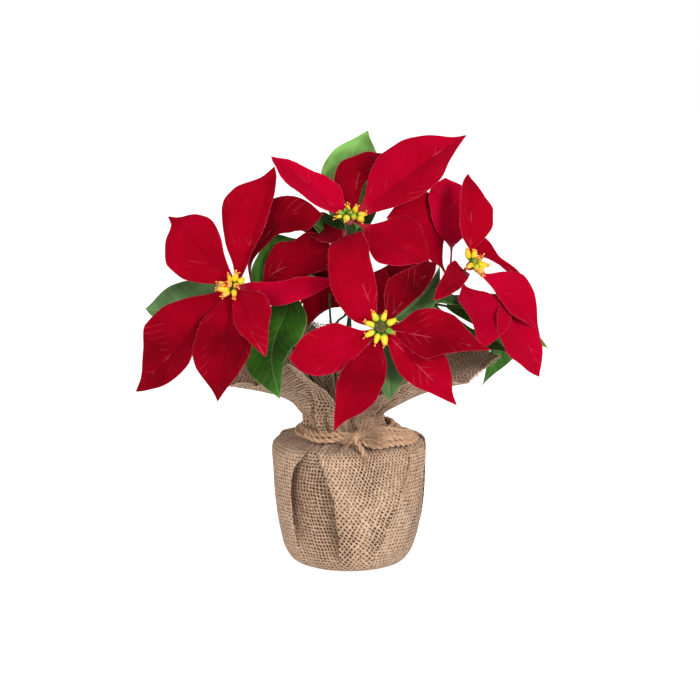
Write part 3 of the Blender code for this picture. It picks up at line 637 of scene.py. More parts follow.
def knob_plastic():
    """The olive knob in the front bloom: brown-green with a fine pebbled skin."""
    graph = Graph("olive_knob", 0.6, Specular_IOR_Level=0.3)
    pebble = graph.span(graph.cells(graph.place(), 1100.0), 0.05, 0.6)
    # Painted shade: the skin is drawn darker in the hollows between the pebbles.
    colour = graph.ramp(pebble, (0.0, (0.34, 0.27, 0.08)), (0.55, (0.20, 0.16, 0.035)),
                        (1.0, (0.07, 0.07, 0.012)))
    return graph.finish(colour, graph.minus(1.0, pebble), 0.0004, 0.8)


def weave(graph, pitch, thick):
    """A plain weave from UVs in millimetres: the height of the upper thread, its own brightness, and
    how far inside a thread each point lies, which is below 0 in the holes. A thread is a rounded bar;
    it rises over one neighbour and dips under the next. Where the attribute open nears 1 the threads
    are thinner and the holes wider."""
    uv = graph.uv()
    wander = graph.noise(uv, 0.09, 2.0)
    u, v, _ = graph.split(uv)
    u = graph.plus(graph.math("DIVIDE", u, pitch), graph.times(wander, 1.6))
    v = graph.minus(graph.math("DIVIDE", v, pitch), graph.times(wander, 1.3))
    spread = graph.times(graph.span(graph.attribute("open"), 0.0, 1.0, 1.16, 0.78), thick)
    sets = []
    for across, along, shift in ((u, v, 0.0), (v, u, 1.0)):
        index = graph.math("FLOOR", across)
        centre = graph.math("ABSOLUTE", graph.minus(graph.math("FRACT", across), 0.5))
        slub = graph.noise(graph.join(graph.times(index, 7.31), graph.times(along, 0.55)), 1.0, 1.0)
        width = graph.times(graph.span(slub, 0.25, 0.75, 0.78, 1.22), spread)
        inside = graph.minus(1.0, graph.math("DIVIDE", centre, width))
        bar = graph.math("SQRT", graph.math("MAXIMUM", inside, 0.0))
        phase = graph.plus(graph.plus(along, index), shift + 0.5)
        wave = graph.math("COSINE", graph.times(phase, math.pi))
        sets.append((graph.times(bar, graph.plus(graph.times(wave, 0.32), 0.68)), slub, inside))
    (first, slub_a, in_a), (second, slub_b, in_b) = sets
    over = graph.math("GREATER_THAN", first, second)
    slub = graph.node("ShaderNodeMix", data_type="FLOAT")
    for value, socket in ((over, 0), (slub_b, 2), (slub_a, 3)):
        graph.put(value, slub.inputs[socket])
    return graph.math("MAXIMUM", first, second), slub.outputs[0], graph.math("MAXIMUM", in_a, in_b)


def burlap():
    """Open plain-woven jute: tan threads of uneven thickness over brown holes, with hairy fibres, painted
    shade where the threads dip and round off, and painted shade beside the edge of a fold."""
    graph = Graph("jute_burlap", 0.95, Sheen_Weight=0.1, Specular_IOR_Level=0.1)
    height, slub, cloth = weave(graph, 2.45, 0.30)
    place = graph.place()
    hairs = graph.noise(place, 1500.0, 3.0, 0.7)
    broad = graph.noise(place, 24.0, 2.0)
    value = graph.plus(graph.weigh((slub, 0.5), (hairs, 0.5)), graph.times(graph.minus(broad, 0.5), 0.25))
    thread = graph.ramp(value, (0.3, (0.34, 0.21, 0.135)), (0.5, (0.48, 0.32, 0.215)),
                        (0.7, (0.66, 0.48, 0.35)))
    # Painted shade: a thread is drawn darker where it dips under its neighbour and rounds off at its sides.
    thread_dip_shade = graph.mix(0.6, thread, (0.18, 0.09, 0.045))
    colour = graph.mix(graph.span(height, 0.1, 0.75), thread_dip_shade, thread)
    colour = graph.tint(colour, graph.span(cloth, 0.14, -0.06), 0.95, (0.045, 0.019, 0.008))
    # Painted shade: the cloth is drawn darker beside the edge of each fold, where the lapped cloth would
    # shade it.
    colour = graph.tint(colour, graph.attribute("painted_crease_shade"), 0.85, (0.08, 0.04, 0.02))
    return graph.finish(colour, graph.plus(height, graph.times(hairs, 0.15)), 0.0006, 0.8)


def jute_thread(name, dark, light):
    """Loose jute: long fibres that run with the thread, streaked light and dark."""
    graph = Graph(name, 0.85, Sheen_Weight=0.25, Specular_IOR_Level=0.2)
    streak = graph.noise(graph.scaled(graph.uv(), 14.0, 0.35), 1.0, 3.0, 0.65)
    value = graph.weigh((streak, 0.75), (graph.attribute("tone"), 0.25))
    return graph.finish(graph.ramp(value, (0.3, dark), (0.72, light)), streak, 0.0003, 0.7)


def pot_plastic():
    """Black moulded plastic with a faint flow grain."""
    graph = Graph("black_pot_plastic", 0.5, Specular_IOR_Level=0.35)
    grain = graph.noise(graph.scaled(graph.place(), 1.0, 1.0, 4.0), 220.0, 3.0)
    colour = graph.ramp(grain, (0.3, (0.010, 0.010, 0.010)), (0.7, (0.028, 0.027, 0.026)))
    return graph.finish(colour, grain, 0.0002, 0.4)


def cast_filler():
    """Rough cast filler: grey-brown with pits and grit."""
    graph = Graph("cast_filler", 0.95, Specular_IOR_Level=0.15)
    place = graph.place()
    grit = graph.noise(place, 520.0, 4.0, 0.7)
    pits = graph.span(graph.cells(place, 260.0), 0.30, 0.08)
    colour = graph.ramp(grit, (0.3, (0.15, 0.13, 0.11)), (0.7, (0.34, 0.31, 0.27)))
    # Painted shade: the pits are drawn darker.
    colour = graph.tint(colour, pits, 0.5, (0.06, 0.05, 0.04))
    return graph.finish(colour, graph.minus(grit, graph.times(pits, 0.8)), 0.0008, 0.8)


# Blades.

# A blade's columns, from -1 at one edge over 0 at the midrib to 1 at the other, and its rows.
ACROSS = np.array([0.0, 0.035, 0.09, 0.18, 0.3, 0.44, 0.6, 0.75, 0.88, 0.965, 1.0])
ACROSS = np.r_[-ACROSS[:0:-1], ACROSS]
ROWS = 40
BLADE_THICK = 0.5
STALK_WIDTH = 1.7
FUZZ_COUNT, FUZZ_LENGTH, FUZZ_RADIUS = 230, 0.9, 0.055


def turn_about(vector, axis, degrees):
    """A vector turned about a unit axis."""
    angle = math.radians(degrees)
    kept = axis * np.dot(axis, vector)
    return kept + (vector - kept) * math.cos(angle) + np.cross(axis, vector) * math.sin(angle)


def eased_through(at, places, values):
    """A smooth line through values at places that never swings past them: a cubic between each two,
    whose slope at a place is the harmonic mean of the slopes on its two sides, or 0 at a peak."""
    places, values = np.asarray(places, float), np.asarray(values, float)
    gap = np.diff(places)
    slope = np.diff(values) / gap
    level = np.r_[slope[0], np.zeros(len(slope) - 1), slope[-1]]
    same = slope[:-1] * slope[1:] > 0
    level[1:-1][same] = 2 * slope[:-1][same] * slope[1:][same] / (slope[:-1] + slope[1:])[same]
    i = np.clip(np.searchsorted(places, at, side="right") - 1, 0, len(gap) - 1)
    t = (at - places[i]) / gap[i]
    return ((1 + 2 * t) * (1 - t) ** 2 * values[i] + t * (1 - t) ** 2 * gap[i] * level[i]
            + t**2 * (3 - 2 * t) * values[i + 1] - t**2 * (1 - t) * gap[i] * level[i + 1])


def half_widths(spec, v):
    """The two half widths of a blade along its length: a smooth line through its outline, or for a
    plain width a sine hump that starts where the stalk ends and is drawn out to a point."""
    if isinstance(spec.outline, tuple):
        pair = [eased_through(v, STATIONS, (STALK_WIDTH / 2, *side, 0.25)) for side in spec.outline]
    else:
        reach = np.clip((v - spec.stalk) / (1 - spec.stalk), 0.0, 1.0)
        hump = np.clip(np.sin(math.pi * reach), 0, 1) ** np.where(reach < 0.5, 0.8, 1.25)
        pair = [spec.outline / 2 * hump] * 2
    least = STALK_WIDTH / 2 * (1 - 0.85 * ease(0.9, 1.0, v))
    return [np.maximum(half, least) for half in pair]


def blade_lift(x, v, long, fold, ripple):
    """How far a blade's surface stands above its midrib. It is a soft V of this fold, plus ripples
    near the two edges, minus a droop with the square of the distance from the midrib, plus two
    crossed sine waves that cockle the whole blade, plus swellings between the side veins, minus a
    furrow along the midrib. The places of the waves are drawn by chance. Where body is 0, at the
    stalk and the tip, only a shallow V is left."""
    out = np.abs(ACROSS)[None, :]
    y = v * long
    body = ease(0.0, 0.35, v) * (1 - ease(0.85, 1.0, v))
    lift = (np.sqrt(x**2 + 2.0) - math.sqrt(2.0)) * math.tan(math.radians(fold)) * (0.25 + 0.75 * body)
    phase = chance.uniform(0, TAU, 5)
    waves = chance.uniform(1.3, 2.3, 2)
    left = np.sin(TAU * waves[0] * v + phase[0])
    right = np.sin(TAU * waves[1] * v + phase[1])
    lift += ripple * np.where(ACROSS < 0, left, right) * out**2 * body
    lift -= 0.0035 * x**2 * out * body
    lift += 0.55 * np.sin(x / 5.2 + y / 9.5 + phase[2]) * np.sin(y / 7.8 - x / 9.0 + phase[3]) * body
    vein = (y - VEIN_SLANT * np.abs(x) ** VEIN_BEND) / VEIN_PITCH
    lift += 0.18 * (1 - np.abs(np.cos(math.pi * vein))) * np.minimum(1.0, np.abs(x) / 3.0) * body
    lift -= 0.40 * np.exp(-((x / 0.7) ** 2)) * body
    return lift


def blade_part(root, centre, face, spec, ripple=1.1):
    """One bract or leaf as a closed thin slab. Along its length v from 0 to 1 the spine is a straight
    line, or a smooth line through the points it passes, plus an arch 6.75 v^2 (1-v) towards the face
    and across it, and the tip curls away from the face. Each row of the slab is square to the spine
    and rises by blade_lift."""
    start = root if spec.root is None else centre + spec.root
    end = centre + spec.tip
    span = end - start
    long = np.linalg.norm(span)
    along = span / long
    up = turn_about(unit(face - along * np.dot(face, along)), along, spec.roll)
    even = np.linspace(0, 1, ROWS)
    v = 0.5 - 0.5 * np.cos(even ** 0.9 * math.pi)
    v = 0.6 * v + 0.4 * even
    arch = 6.75 * v**2 * (1 - v)
    curl = chance.uniform(1.0, 3.2) * np.clip((v - 0.72) / 0.28, 0, 1) ** 2
    spine = start + np.outer(v, span)
    if spec.way:
        line = smooth_line([start, *(centre + spec.way), end], 200)
        run = distance_along(line)
        long = run[-1]
        spine = points_at(line, run, v * long)
    spine = spine + np.outer(arch, up * spec.bow + np.cross(along, up) * spec.sway) - np.outer(curl, up)
    tangent = unit(np.gradient(spine, v, axis=0))
    normal = unit(up - tangent * (tangent @ up)[:, None])
    side = np.cross(tangent, normal)
    first, second = half_widths(spec, v)
    v = v[:, None]
    half = np.where(ACROSS[None, :] < 0, first[:, None], second[:, None])
    x = half * ACROSS[None, :]
    y = v * long
    lift = blade_lift(x, v, long, spec.fold, ripple)
    out = np.abs(ACROSS)[None, :]
    middle = spine[:, None] + side[:, None] * x[..., None] + normal[:, None] * lift[..., None]
    slab = BLADE_THICK * (0.45 + 0.55 * np.sqrt(np.clip(1 - out**6, 0, 1)))
    skin = normal[:, None] * (slab / 2)[..., None]
    points = np.concatenate([(middle + skin).reshape(-1, 3), (middle - skin).reshape(-1, 3)])
    uv = np.stack(np.broadcast_arrays(x, y), axis=-1).reshape(-1, 2)
    inset = np.where(spec.stalk > v - 0.02, 9.0, np.minimum(half * (1 - out), (long - y) * 0.6))
    stalk = (0.25 if spec.root is None else 1.0) * (1 - ease(spec.stalk - 0.02, spec.stalk + 0.04, v))
    values = {"inset": inset, "stalk": stalk, "tone": spec.tone or chance.uniform(0.35, 0.8)}
    return points, slab_faces(*x.shape), {
        "uv": np.tile(uv, (2, 1)),
        **{key: np.tile(np.broadcast_to(value, x.shape).ravel(), 2) for key, value in values.items()}}


def edge_fuzz(part):
    """Short fibres that stand out of a blade's rim, at random places along its two sides."""
    upper = part[0].reshape(2, ROWS, len(ACROSS), 3)[0]
    rims, inner = upper[:, [0, -1]], upper[:, [1, -2]]
    row = chance.uniform(3, ROWS - 1.001, FUZZ_COUNT)
    which = chance.integers(0, 2, FUZZ_COUNT)
    low = row.astype(int)
    share = (row - low)[:, None]
    root = rims[low, which] * (1 - share) + rims[low + 1, which] * share
    out = unit(root - (inner[low, which] * (1 - share) + inner[low + 1, which] * share))
    heading = unit(out + chance.normal(0, 0.45, (FUZZ_COUNT, 3)))
    size = FUZZ_LENGTH * chance.uniform(0.4, 1.2, FUZZ_COUNT)
    bend = chance.normal(0, 0.35, (FUZZ_COUNT, 3))
    return fibres(root - out * 0.15, heading, size, FUZZ_RADIUS, bend, np.full(FUZZ_COUNT, 0.9))


# Blooms.


def seat(bloom):
    """A bloom's centre, and the unit vector along which it faces."""
    return np.array(bloom.centre, float), unit(bloom.axis)


def stem_path(bloom, count=40):
    """Up the plug, then a cubic curve that ends along the bloom's axis."""
    centre, axis = seat(bloom)
    end = centre - axis * (CORE_BELOW + 0.1)
    foot = np.array([*bloom.foot, HOLE_FLOOR])
    start = np.array([*bloom.foot, PLUG_TOP + 6.0])
    first = start + (0.0, 0.0, 45.0)
    second = end - axis * 30.0
    t = np.linspace(0.0, 1.0, count)[:, None]
    curve = (1 - t) ** 3 * start + 3 * (1 - t) ** 2 * t * first + 3 * (1 - t) * t**2 * second + t**3 * end
    return np.vstack([foot, (foot + start) / 2, curve])


def coarse_point(bloom, share):
    """The point of the solid's stem at this share of its length."""
    path = np.delete(stem_path(bloom, 10), 1, 0)
    run = distance_along(path)
    return points_at(path, run, share * run[-1])


def hub(bloom):
    """The small core that holds the bracts: a turned barrel on the bloom's axis."""
    centre, axis = seat(bloom)
    path = centre + np.outer([-CORE_BELOW, -3.0, -1.0, 0.6, CORE_ABOVE, CORE_ABOVE + 1.2], axis)
    part = tube(path, [1.6, 2.6, 3.0, 3.0, 2.6, 1.2], 14, reference=(0.9, 0.1, 0.2))
    return dressed(part, inset=9.0, stalk=1.0, tone=0.3)


def make_bloom(name, bloom, looks):
    """The bracts with their fuzz, the leaves, the stem with any side stems, and the cyathia of one
    bloom, each as its own piece."""
    centre, axis = seat(bloom)
    heights = np.linspace(-CORE_BELOW + 1.4, CORE_ABOVE - 1.0, len(bloom.bracts))
    bracts = [blade_part(centre + axis * high, centre, axis, spec)
              for high, spec in zip(heights, bloom.bracts)]
    build(name + "_velvet_bracts", stack([*bracts, hub(bloom)]), looks["velvet"], name + "_bracts")
    build(name + "_bract_fuzz", stack([edge_fuzz(part) for part in bracts]), looks["fuzz"])
    leaves = [blade_part(coarse_point(bloom, share), centre, axis, spec, ripple=1.0)
              for share, spec in bloom.leaves]
    build(name + "_leaves", stack(leaves), looks["leaf"], name + "_stem")
    path = stem_path(bloom)
    width = 0.95 + 0.08 * np.sin(np.linspace(0, 40, len(path)))
    wires = [tube(path, width, 10, reference=(0.2, 0.9, 0.1))]
    wires += [tube(smooth_line(twig, 24), 0.8, 8, reference=(0.2, 0.9, 0.1)) for twig in TWIGS.get(name, ())]
    build(name + "_wired_stem", stack(wires), looks["tape"], name + "_stem")
    make_cups(name, bloom, looks)


# Cyathia.

CUP_SIDES = 15


def cup_part(base, aim, cup):
    """One cyathium: a plump five-ribbed barrel turned about its aim. The outer wall runs from the foot
    to the lip, then, as far as it is open, the lip splays into five lobes and the inner wall goes back
    down the mouth."""
    side = unit(np.cross(aim, (0.13, 0.21, 0.97) if abs(aim[2]) < 0.9 else (0.9, 0.1, 0.2)))
    angle = np.arange(CUP_SIDES) * TAU / CUP_SIDES
    lip = 0.22 + 0.42 * cup.mouth
    t = np.array([0.0, 0.06, 0.18, 0.32, 0.46, 0.6, 0.72, 0.83, 0.92, 1.0])
    wall = np.array([0.25, 0.48, 0.80, 0.97, 1.0, 0.93, 0.78, 0.58, 0.42, 0.36])
    wall = np.where(t > 0.55, wall * (1 - cup.mouth * 0.1) + lip * 0.55 * (t - 0.55) / 0.45, wall)
    rows_t = np.r_[0.0, t, 0.97, 0.86, 0.72, 0.66]
    rows_r = np.r_[0.01, wall, np.array([0.72, 0.55, 0.4, 0.02]) * wall[-1]]
    lobes = np.cos(5 * angle)[None, :]
    near_lip = np.exp(-(((rows_t - 1.0) / 0.10) ** 2))[:, None]
    radius = rows_r[:, None] * cup.girth / 2 * (1 + 0.055 * lobes + 0.22 * cup.mouth * near_lip * lobes)
    place = rows_t[:, None] * cup.length + 0.5 * cup.mouth * near_lip * lobes
    ring = circle(side[None], np.cross(aim, side)[None], angle)
    points = base + place[..., None] * aim + radius[..., None] * ring
    ripe = np.clip(cup.ripe * 0.78 * ease(-0.15, 0.55, rows_t) + 0.10 * ease(0.8, 1.0, rows_t), 0, 1)
    inside = np.r_[np.zeros(11), 0.25, 0.45, 0.55, 0.6] * (0.35 + 0.65 * cup.mouth)
    ripe = np.clip(ripe + inside * 0.7, 0, 1)
    uv = np.stack(np.broadcast_arrays(angle[None] / TAU, rows_t[:, None]), axis=-1)
    return points.reshape(-1, 3), grid_faces(len(rows_t), CUP_SIDES, wrap=True)[:, ::-1], {
        "uv": uv.reshape(-1, 2), "ripe": np.repeat(ripe, CUP_SIDES)}


def stamens(base, aim, cup):
    """One to four short filaments out of a mouth, each a thin tube that ends in a small bead."""
    made = []
    for _ in range(int(round(1 + 3 * cup.mouth))):
        heading = unit(aim + chance.normal(0, 0.38, 3))
        start = base + aim * cup.length * 0.82
        far = start + heading * chance.uniform(1.6, 3.0)
        bent = (start + far) / 2 + chance.normal(0, 0.2, 3)
        line = smooth_line([start, bent, far, far + heading * 0.9], 9)
        radius = [0.2, 0.2, 0.19, 0.18, 0.19, 0.26, 0.46, 0.5, 0.25]
        part = tube(line, radius, 6, reference=(0.23, 0.41, 0.88))
        made.append(dressed(part, ripe=np.linspace(0.62, 0.80, len(part[0]))))
    return made


def make_cups(name, bloom, looks):
    """The cluster in the middle of a bloom: each cyathium on its short stalk, and its stamens."""
    centre, axis = seat(bloom)
    centre = centre + axis * (CORE_ABOVE + 0.3)
    foot = centre + axis * 0.4
    away = 1.0 if axis[1] > 0 else -1.0
    parts = []
    for cup in CUPS[name]:
        aim = unit([cup.aim[0], away * cup.aim[1], cup.aim[2]])
        spot = centre + np.array([cup.x, 0.0, cup.z]) * 0.72
        spot = spot - axis * np.dot(spot - centre, axis) + axis * cup.rise * 0.75
        base = spot - aim * cup.length * 0.35
        parts.append(cup_part(base, aim, cup))
        bent = (foot * 0.5 + base * 0.5) + axis * 0.6
        line = smooth_line([foot, bent, base + aim * 0.6], 6)
        parts.append(dressed(tube(line, 0.75, 7, reference=(0.41, 0.33, 0.85)), ripe=0.05))
        parts += stamens(base, aim, cup)
    build(name + "_cyathia_cups", stack(parts), looks["cup"], name + "_cyathia")
    if name == "front":
        make_knob(bloom, looks)


def make_knob(bloom, looks):
    """The olive knob inside the front ring: a squat pebbled dome with a dent in the middle."""
    centre, axis = seat(bloom)
    t = np.linspace(0, 1, 16)
    rise = 5.4 * np.sin(t * math.pi * 0.62) - 1.5 * ease(0.72, 1.0, t)
    radius = 3.5 * np.cos(np.clip(t - 0.25, 0, 1) * math.pi / 1.5) ** 0.7
    radius[-1] = 0.05
    path = centre + axis * (CORE_ABOVE + 0.5) + np.outer(rise, axis)
    part = tube(path, np.maximum(radius, 0.05), 28, reference=(0.9, 0.1, 0.2))
    build("front_olive_knob", part, looks["knob"])


# Burlap.

# Up the wrapped body: radius, height and depth of the gathers.
WRAP = np.array([
    (33.0, 0.35, 0.0), (38.2, 2.6, 0.0), (43.4, 11.0, 0.2), (47.2, 26.0, 0.3), (49.3, 46.0, 0.3),
    (50.2, 66.0, 0.3), (50.6, 77.5, 0.3), (49.6, 81.6, 0.5), (46.4, 83.6, 0.9), (38.0, 85.8, 1.5),
    (29.5, 88.6, 2.2), (25.0, 92.8, 2.6), (24.5, 100.0, 2.6)])
# Round the collar's rim: direction in degrees, radius and height.
RIM = np.array([
    (0, 96, 136), (25, 84, 150), (55, 66, 150), (90, 56, 142), (120, 56, 153), (150, 66, 142),
    (178, 80, 119), (205, 66, 124), (224, 53, 138), (242, 36, 122), (258, 29, 107), (283, 29, 106),
    (302, 38, 118), (320, 54, 130), (342, 82, 126)], float)
NECK_RADIUS, NECK_HEIGHT = 24.5, 100.0
# The grid: rings under the pot by their share of the foot's radius, rows up the wall and the collar.
UNDER = (0.02, 0.35, 0.7, 0.95)
WALL_ROWS, COLLAR_ROWS, COLUMNS = 56, 44, 410
LEVEL_ROWS = len(UNDER) + WALL_ROWS
CLOTH_THICK, THREAD = 0.7, 0.24

# A fold laps one panel of cloth over the next, within HALF_FOLD degrees either side of its home. Its
# line is the direction it has at some heights. lap is how far it goes back under itself, in degrees;
# top says which side lies on top, 1 the one on its right seen from outside and -1 the one on its
# left; step is the rise of a layer; grain is the turn of the threads in the panel to its right.
HALF_FOLD = 9.0
Fold = namedtuple("Fold", "home line lap top step grain")
FOLDS = (
    Fold(-139.0, ((12, -135.0), (19, -135.6), (56, -139.8), (64, -138.8), (73, -135.6), (80, -128.0)),
         9.0, -1, 2.1, 0.0),
    Fold(-104.0, ((10, -99.0), (19, -97.0), (27, -94.5), (53, -93.0), (76, -101.0), (84, -107.0)),
         11.5, 1, 2.5, 45.0),
    Fold(-56.0, ((12, -68.0), (19, -64.5), (34, -58.7), (50, -50.5), (62, -45.6), (74, -42.0)),
         4.5, -1, 0.45, 0.0),
    Fold(-33.0, ((12, -37.0), (57, -33.2), (68, -31.7), (84, -31.0)), 8.5, -1, 1.8, 0.0),
    Fold(14.0, ((12, 10.0), (84, 17.0)), 9.0, 1, 1.1, 45.0),
    Fold(56.0, ((12, 60.0), (84, 52.0)), 8.0, -1, 1.1, 0.0),
    Fold(98.0, ((12, 96.0), (84, 102.0)), 10.0, 1, 1.2, 45.0),
    Fold(152.0, ((12, 156.0), (84, 149.0)), 9.0, -1, 1.1, 0.0),
)
# Where the weave is drawn open: direction, height, reach round and reach up.
OPEN_SPOTS = (
    (-121, 45, 12, 60), (-118, 116, 40, 14), (-82, 68, 13, 22), (-97, 20, 12, 22), (-62, 30, 9, 20),
    (-20, 40, 16, 30), (35, 60, 20, 26), (80, 30, 22, 30), (125, 55, 20, 34), (175, 40, 16, 40))
# Ribs of cloth that the twine pinches up at the neck: direction, half width in degrees and height.
NECK_RIBS = ((-143.0, 5.0, 3.4), (-127.0, 4.5, 3.0), (-108.0, 5.0, 1.6), (-70.0, 6.0, 1.8))
# Long loose threads at the rim: direction, length, and how far they fall for each part of it.
LONG_THREADS = ((333.0, 12.0, 0.8), (188.0, 7.0, 1.0), (20.0, 9.0, 0.9), (70.0, 10.0, 1.0))


def around_rim(degrees, column):
    """A column of RIM as a smooth closed function of direction, by cosine easing between its rows."""
    at = np.r_[RIM[:, 0], 360.0]
    value = np.r_[RIM[:, column], RIM[0, column]]
    degrees = degrees % 360.0
    index = np.searchsorted(at, degrees, side="right") - 1
    share = (degrees - at[index]) / (at[index + 1] - at[index])
    blend = (1 - np.cos(math.pi * share)) / 2
    return value[index] * (1 - blend) + value[index + 1] * blend


def wrap_profile(rows):
    """Radius, height and depth of the gathers up the wrapped body, as a smooth line through WRAP, and
    how far along it each row lies."""
    line = smooth_line(WRAP, 900)
    run = distance_along(line[:, :2])
    at = np.linspace(0, run[-1], rows)
    return points_at(line, run, at), at


def angle_from(degrees, centre):
    """Signed degrees from a direction, between -180 and 180."""
    return (degrees - centre + 180.0) % 360.0 - 180.0


def nothing_yet(*grids):
    """Zeros on the grid that these spread over."""
    return np.zeros(np.broadcast_shapes(*(np.shape(grid) for grid in grids)))


def folded(degrees, high, share):
    """Where the folds move the cloth: how far it slides round, in degrees, and how far it stands out,
    in millimetres. x runs from -1 to 1 over a fold. It slides the cloth by -lap sin(pi x), so that it
    runs on, back under itself and on again; the layers step out by one step each on the way to the
    side that lies on top, and that side settles back over the next 30 degrees. The folds grow from
    nothing at the foot and fade towards the neck."""
    slide, stand = nothing_yet(degrees, high), nothing_yet(degrees, high)
    grow = ease(2, 62, high) ** 0.6 * (1 - 0.8 * ease(0.80, 1.0, share))
    for fold in FOLDS:
        line = np.array(fold.line)
        drift = np.interp(high, line[:, 0], line[:, 1]) - fold.home
        d = angle_from(degrees, fold.home)
        slide = slide + drift * np.exp(-((d / 22.0) ** 2)) * (1 - ease(0.88, 1.0, share))
        x = np.clip(d / HALF_FOLD, -1, 1)
        slide = slide - fold.lap * grow * np.sin(math.pi * x)
        y = d / HALF_FOLD * fold.top
        layers = 2 * ease(-0.62, 0.62, y) * (1 - ease(0.9, 4.2, y)) - 0.5 * np.exp(-(((y + 1.0) / 0.6) ** 2))
        stand = stand + fold.step * layers * np.sqrt(grow)
    return slide, stand


def painted_shade_by_folds(degrees, high):
    """How much painted shade the cloth gets beside a fold: a ridge beside the upper layer's edge."""
    shade = nothing_yet(degrees, high)
    for fold in FOLDS:
        y = angle_from(degrees, fold.home) / HALF_FOLD * fold.top
        ridge = np.exp(-((y + 0.55) / np.where(y < -0.55, 0.55, 0.5)) ** 2)
        depth = min(1.0, (fold.step / 2.6) ** 2)
        shade = np.maximum(shade, depth * ridge * ease(6, 30, high) * (1 - ease(84, 90, high)))
    return shade


def openness(degrees, high):
    """How open the weave is, from 0 to 1: round spots, each exp of minus the squared distance."""
    share = nothing_yet(degrees, high)
    for way, level, wide, tall in OPEN_SPOTS:
        spot = np.exp(-((angle_from(degrees, way) / wide) ** 2) - ((high - level) / tall) ** 2)
        share = np.maximum(share, spot)
    return share


def gathers(degrees, high):
    """Pleats from the shoulder to the neck: cosines of different count, so that they are uneven."""
    r = np.radians(degrees)
    wave = np.cos(17 * r + 0.6) + 0.6 * np.cos(26 * r + 1.3) + 0.45 * np.cos(9 * r + 0.4 + 0.02 * high)
    return wave / 1.5


def wall_point(degrees, share):
    """Radius, height and slide of the wall's cloth, share being 0 at its foot and 1 at the neck: the
    wrapped body's profile, plus what the folds add, minus a hollow between the first two folds, plus
    a slow sag and the gathers."""
    profile, run = wrap_profile(400)
    radius, high, pleat = np.moveaxis(points_at(profile, run, np.clip(share, 0, 1) * run[-1]), -1, 0)
    slide, stand = folded(degrees, high, share)
    sag = 0.5 * np.sin(np.radians(5 * degrees) + 0.05 * high)
    sag = sag + 0.35 * np.sin(np.radians(9 * degrees) - 0.04 * high + 1.0)
    hollow = 1.6 * ease(8, 40, high) * np.exp(-((angle_from(degrees, -121.0) / 11.0) ** 4))
    radius = radius + (stand - hollow) * (1 - ease(0.66, 0.84, share)) + sag * ease(10, 30, high)
    radius = radius + pleat * gathers(degrees, high) * ease(0.55, 0.8, share)
    return radius, high, slide


def collar_point(degrees, t):
    """Radius and height of the collar's cloth, t being 0 at the neck and 1 at the rim: a quadratic
    curve out to the rim, plus the gathers, broad waves, and a ruffle that grows towards the rim."""
    reach, rise = around_rim(degrees, 1), around_rim(degrees, 2)
    out, lift = reach - NECK_RADIUS, rise - NECK_HEIGHT
    pull = 2 * t * (1 - t)
    grow = ease(28, 60, reach)
    back = ease(-0.2, 0.6, np.sin(np.radians(degrees)))
    pleats = (2.6 * (1 - t) ** 2 + (0.6 + 0.9 * back) * t) * gathers(degrees, 100.0)
    broad = np.sin(np.radians(7 * degrees) + 0.8) * (1.6 + 3.2 * back) * ease(0.1, 0.9, t)
    ruffle = np.sin(np.radians(11 * degrees) + 2.1) * (1.2 + 3.0 * back) * ease(0.3, 1.0, t)
    radius = NECK_RADIUS + out * (pull * 0.34 + t**2) + pleats + broad * grow
    high = NECK_HEIGHT + (lift * 0.5 + 4.0) * pull + lift * t**2
    return radius, high + ruffle * grow


def cloth_point(degrees, share):
    """The cloth's outer face at a direction in degrees and a share of the way up: 0 to 1 is the wall
    from the foot to the neck, 1 to 2 is the collar from the neck to its rim, and beyond 2 is past the
    rim. At the neck the twine pulls it aside and pinches up ribs."""
    shape = np.broadcast_shapes(np.shape(degrees), np.shape(share))
    degrees = np.broadcast_to(degrees, shape).astype(float)
    share = np.broadcast_to(share, shape).astype(float)
    radius, high, slide = wall_point(degrees, share)
    t = np.clip(share - 1, 0, None)
    collar_radius, collar_high = collar_point(degrees, t)
    radius = np.where(t > 0, collar_radius, radius)
    high = np.where(t > 0, collar_high, high)
    pinch = ease(0.84, 1.0, share) * (1 - ease(1.05, 1.35, share))
    for way, wide, rib in NECK_RIBS:
        radius = radius + rib * pinch * np.exp(-((angle_from(degrees, way) / wide) ** 2))
    turn = np.radians(degrees + slide)
    return np.stack([radius * np.cos(turn) - 3.2 * pinch, radius * np.sin(turn) - 1.0 * pinch, high], axis=-1)


def cloth_columns():
    """Directions of the grid's columns, closer together where the cloth folds over itself."""
    fine = np.linspace(0, 360, 3601)
    weight = np.full(3601, 1.0)
    for fold in FOLDS:
        weight = weight + 1.5 * np.exp(-((angle_from(fine, fold.home) / HALF_FOLD) ** 4))
    total = np.r_[0.0, np.cumsum((weight[1:] + weight[:-1]) / 2)]
    return np.interp(np.linspace(0, total[-1], COLUMNS + 1)[:-1], total, fine)


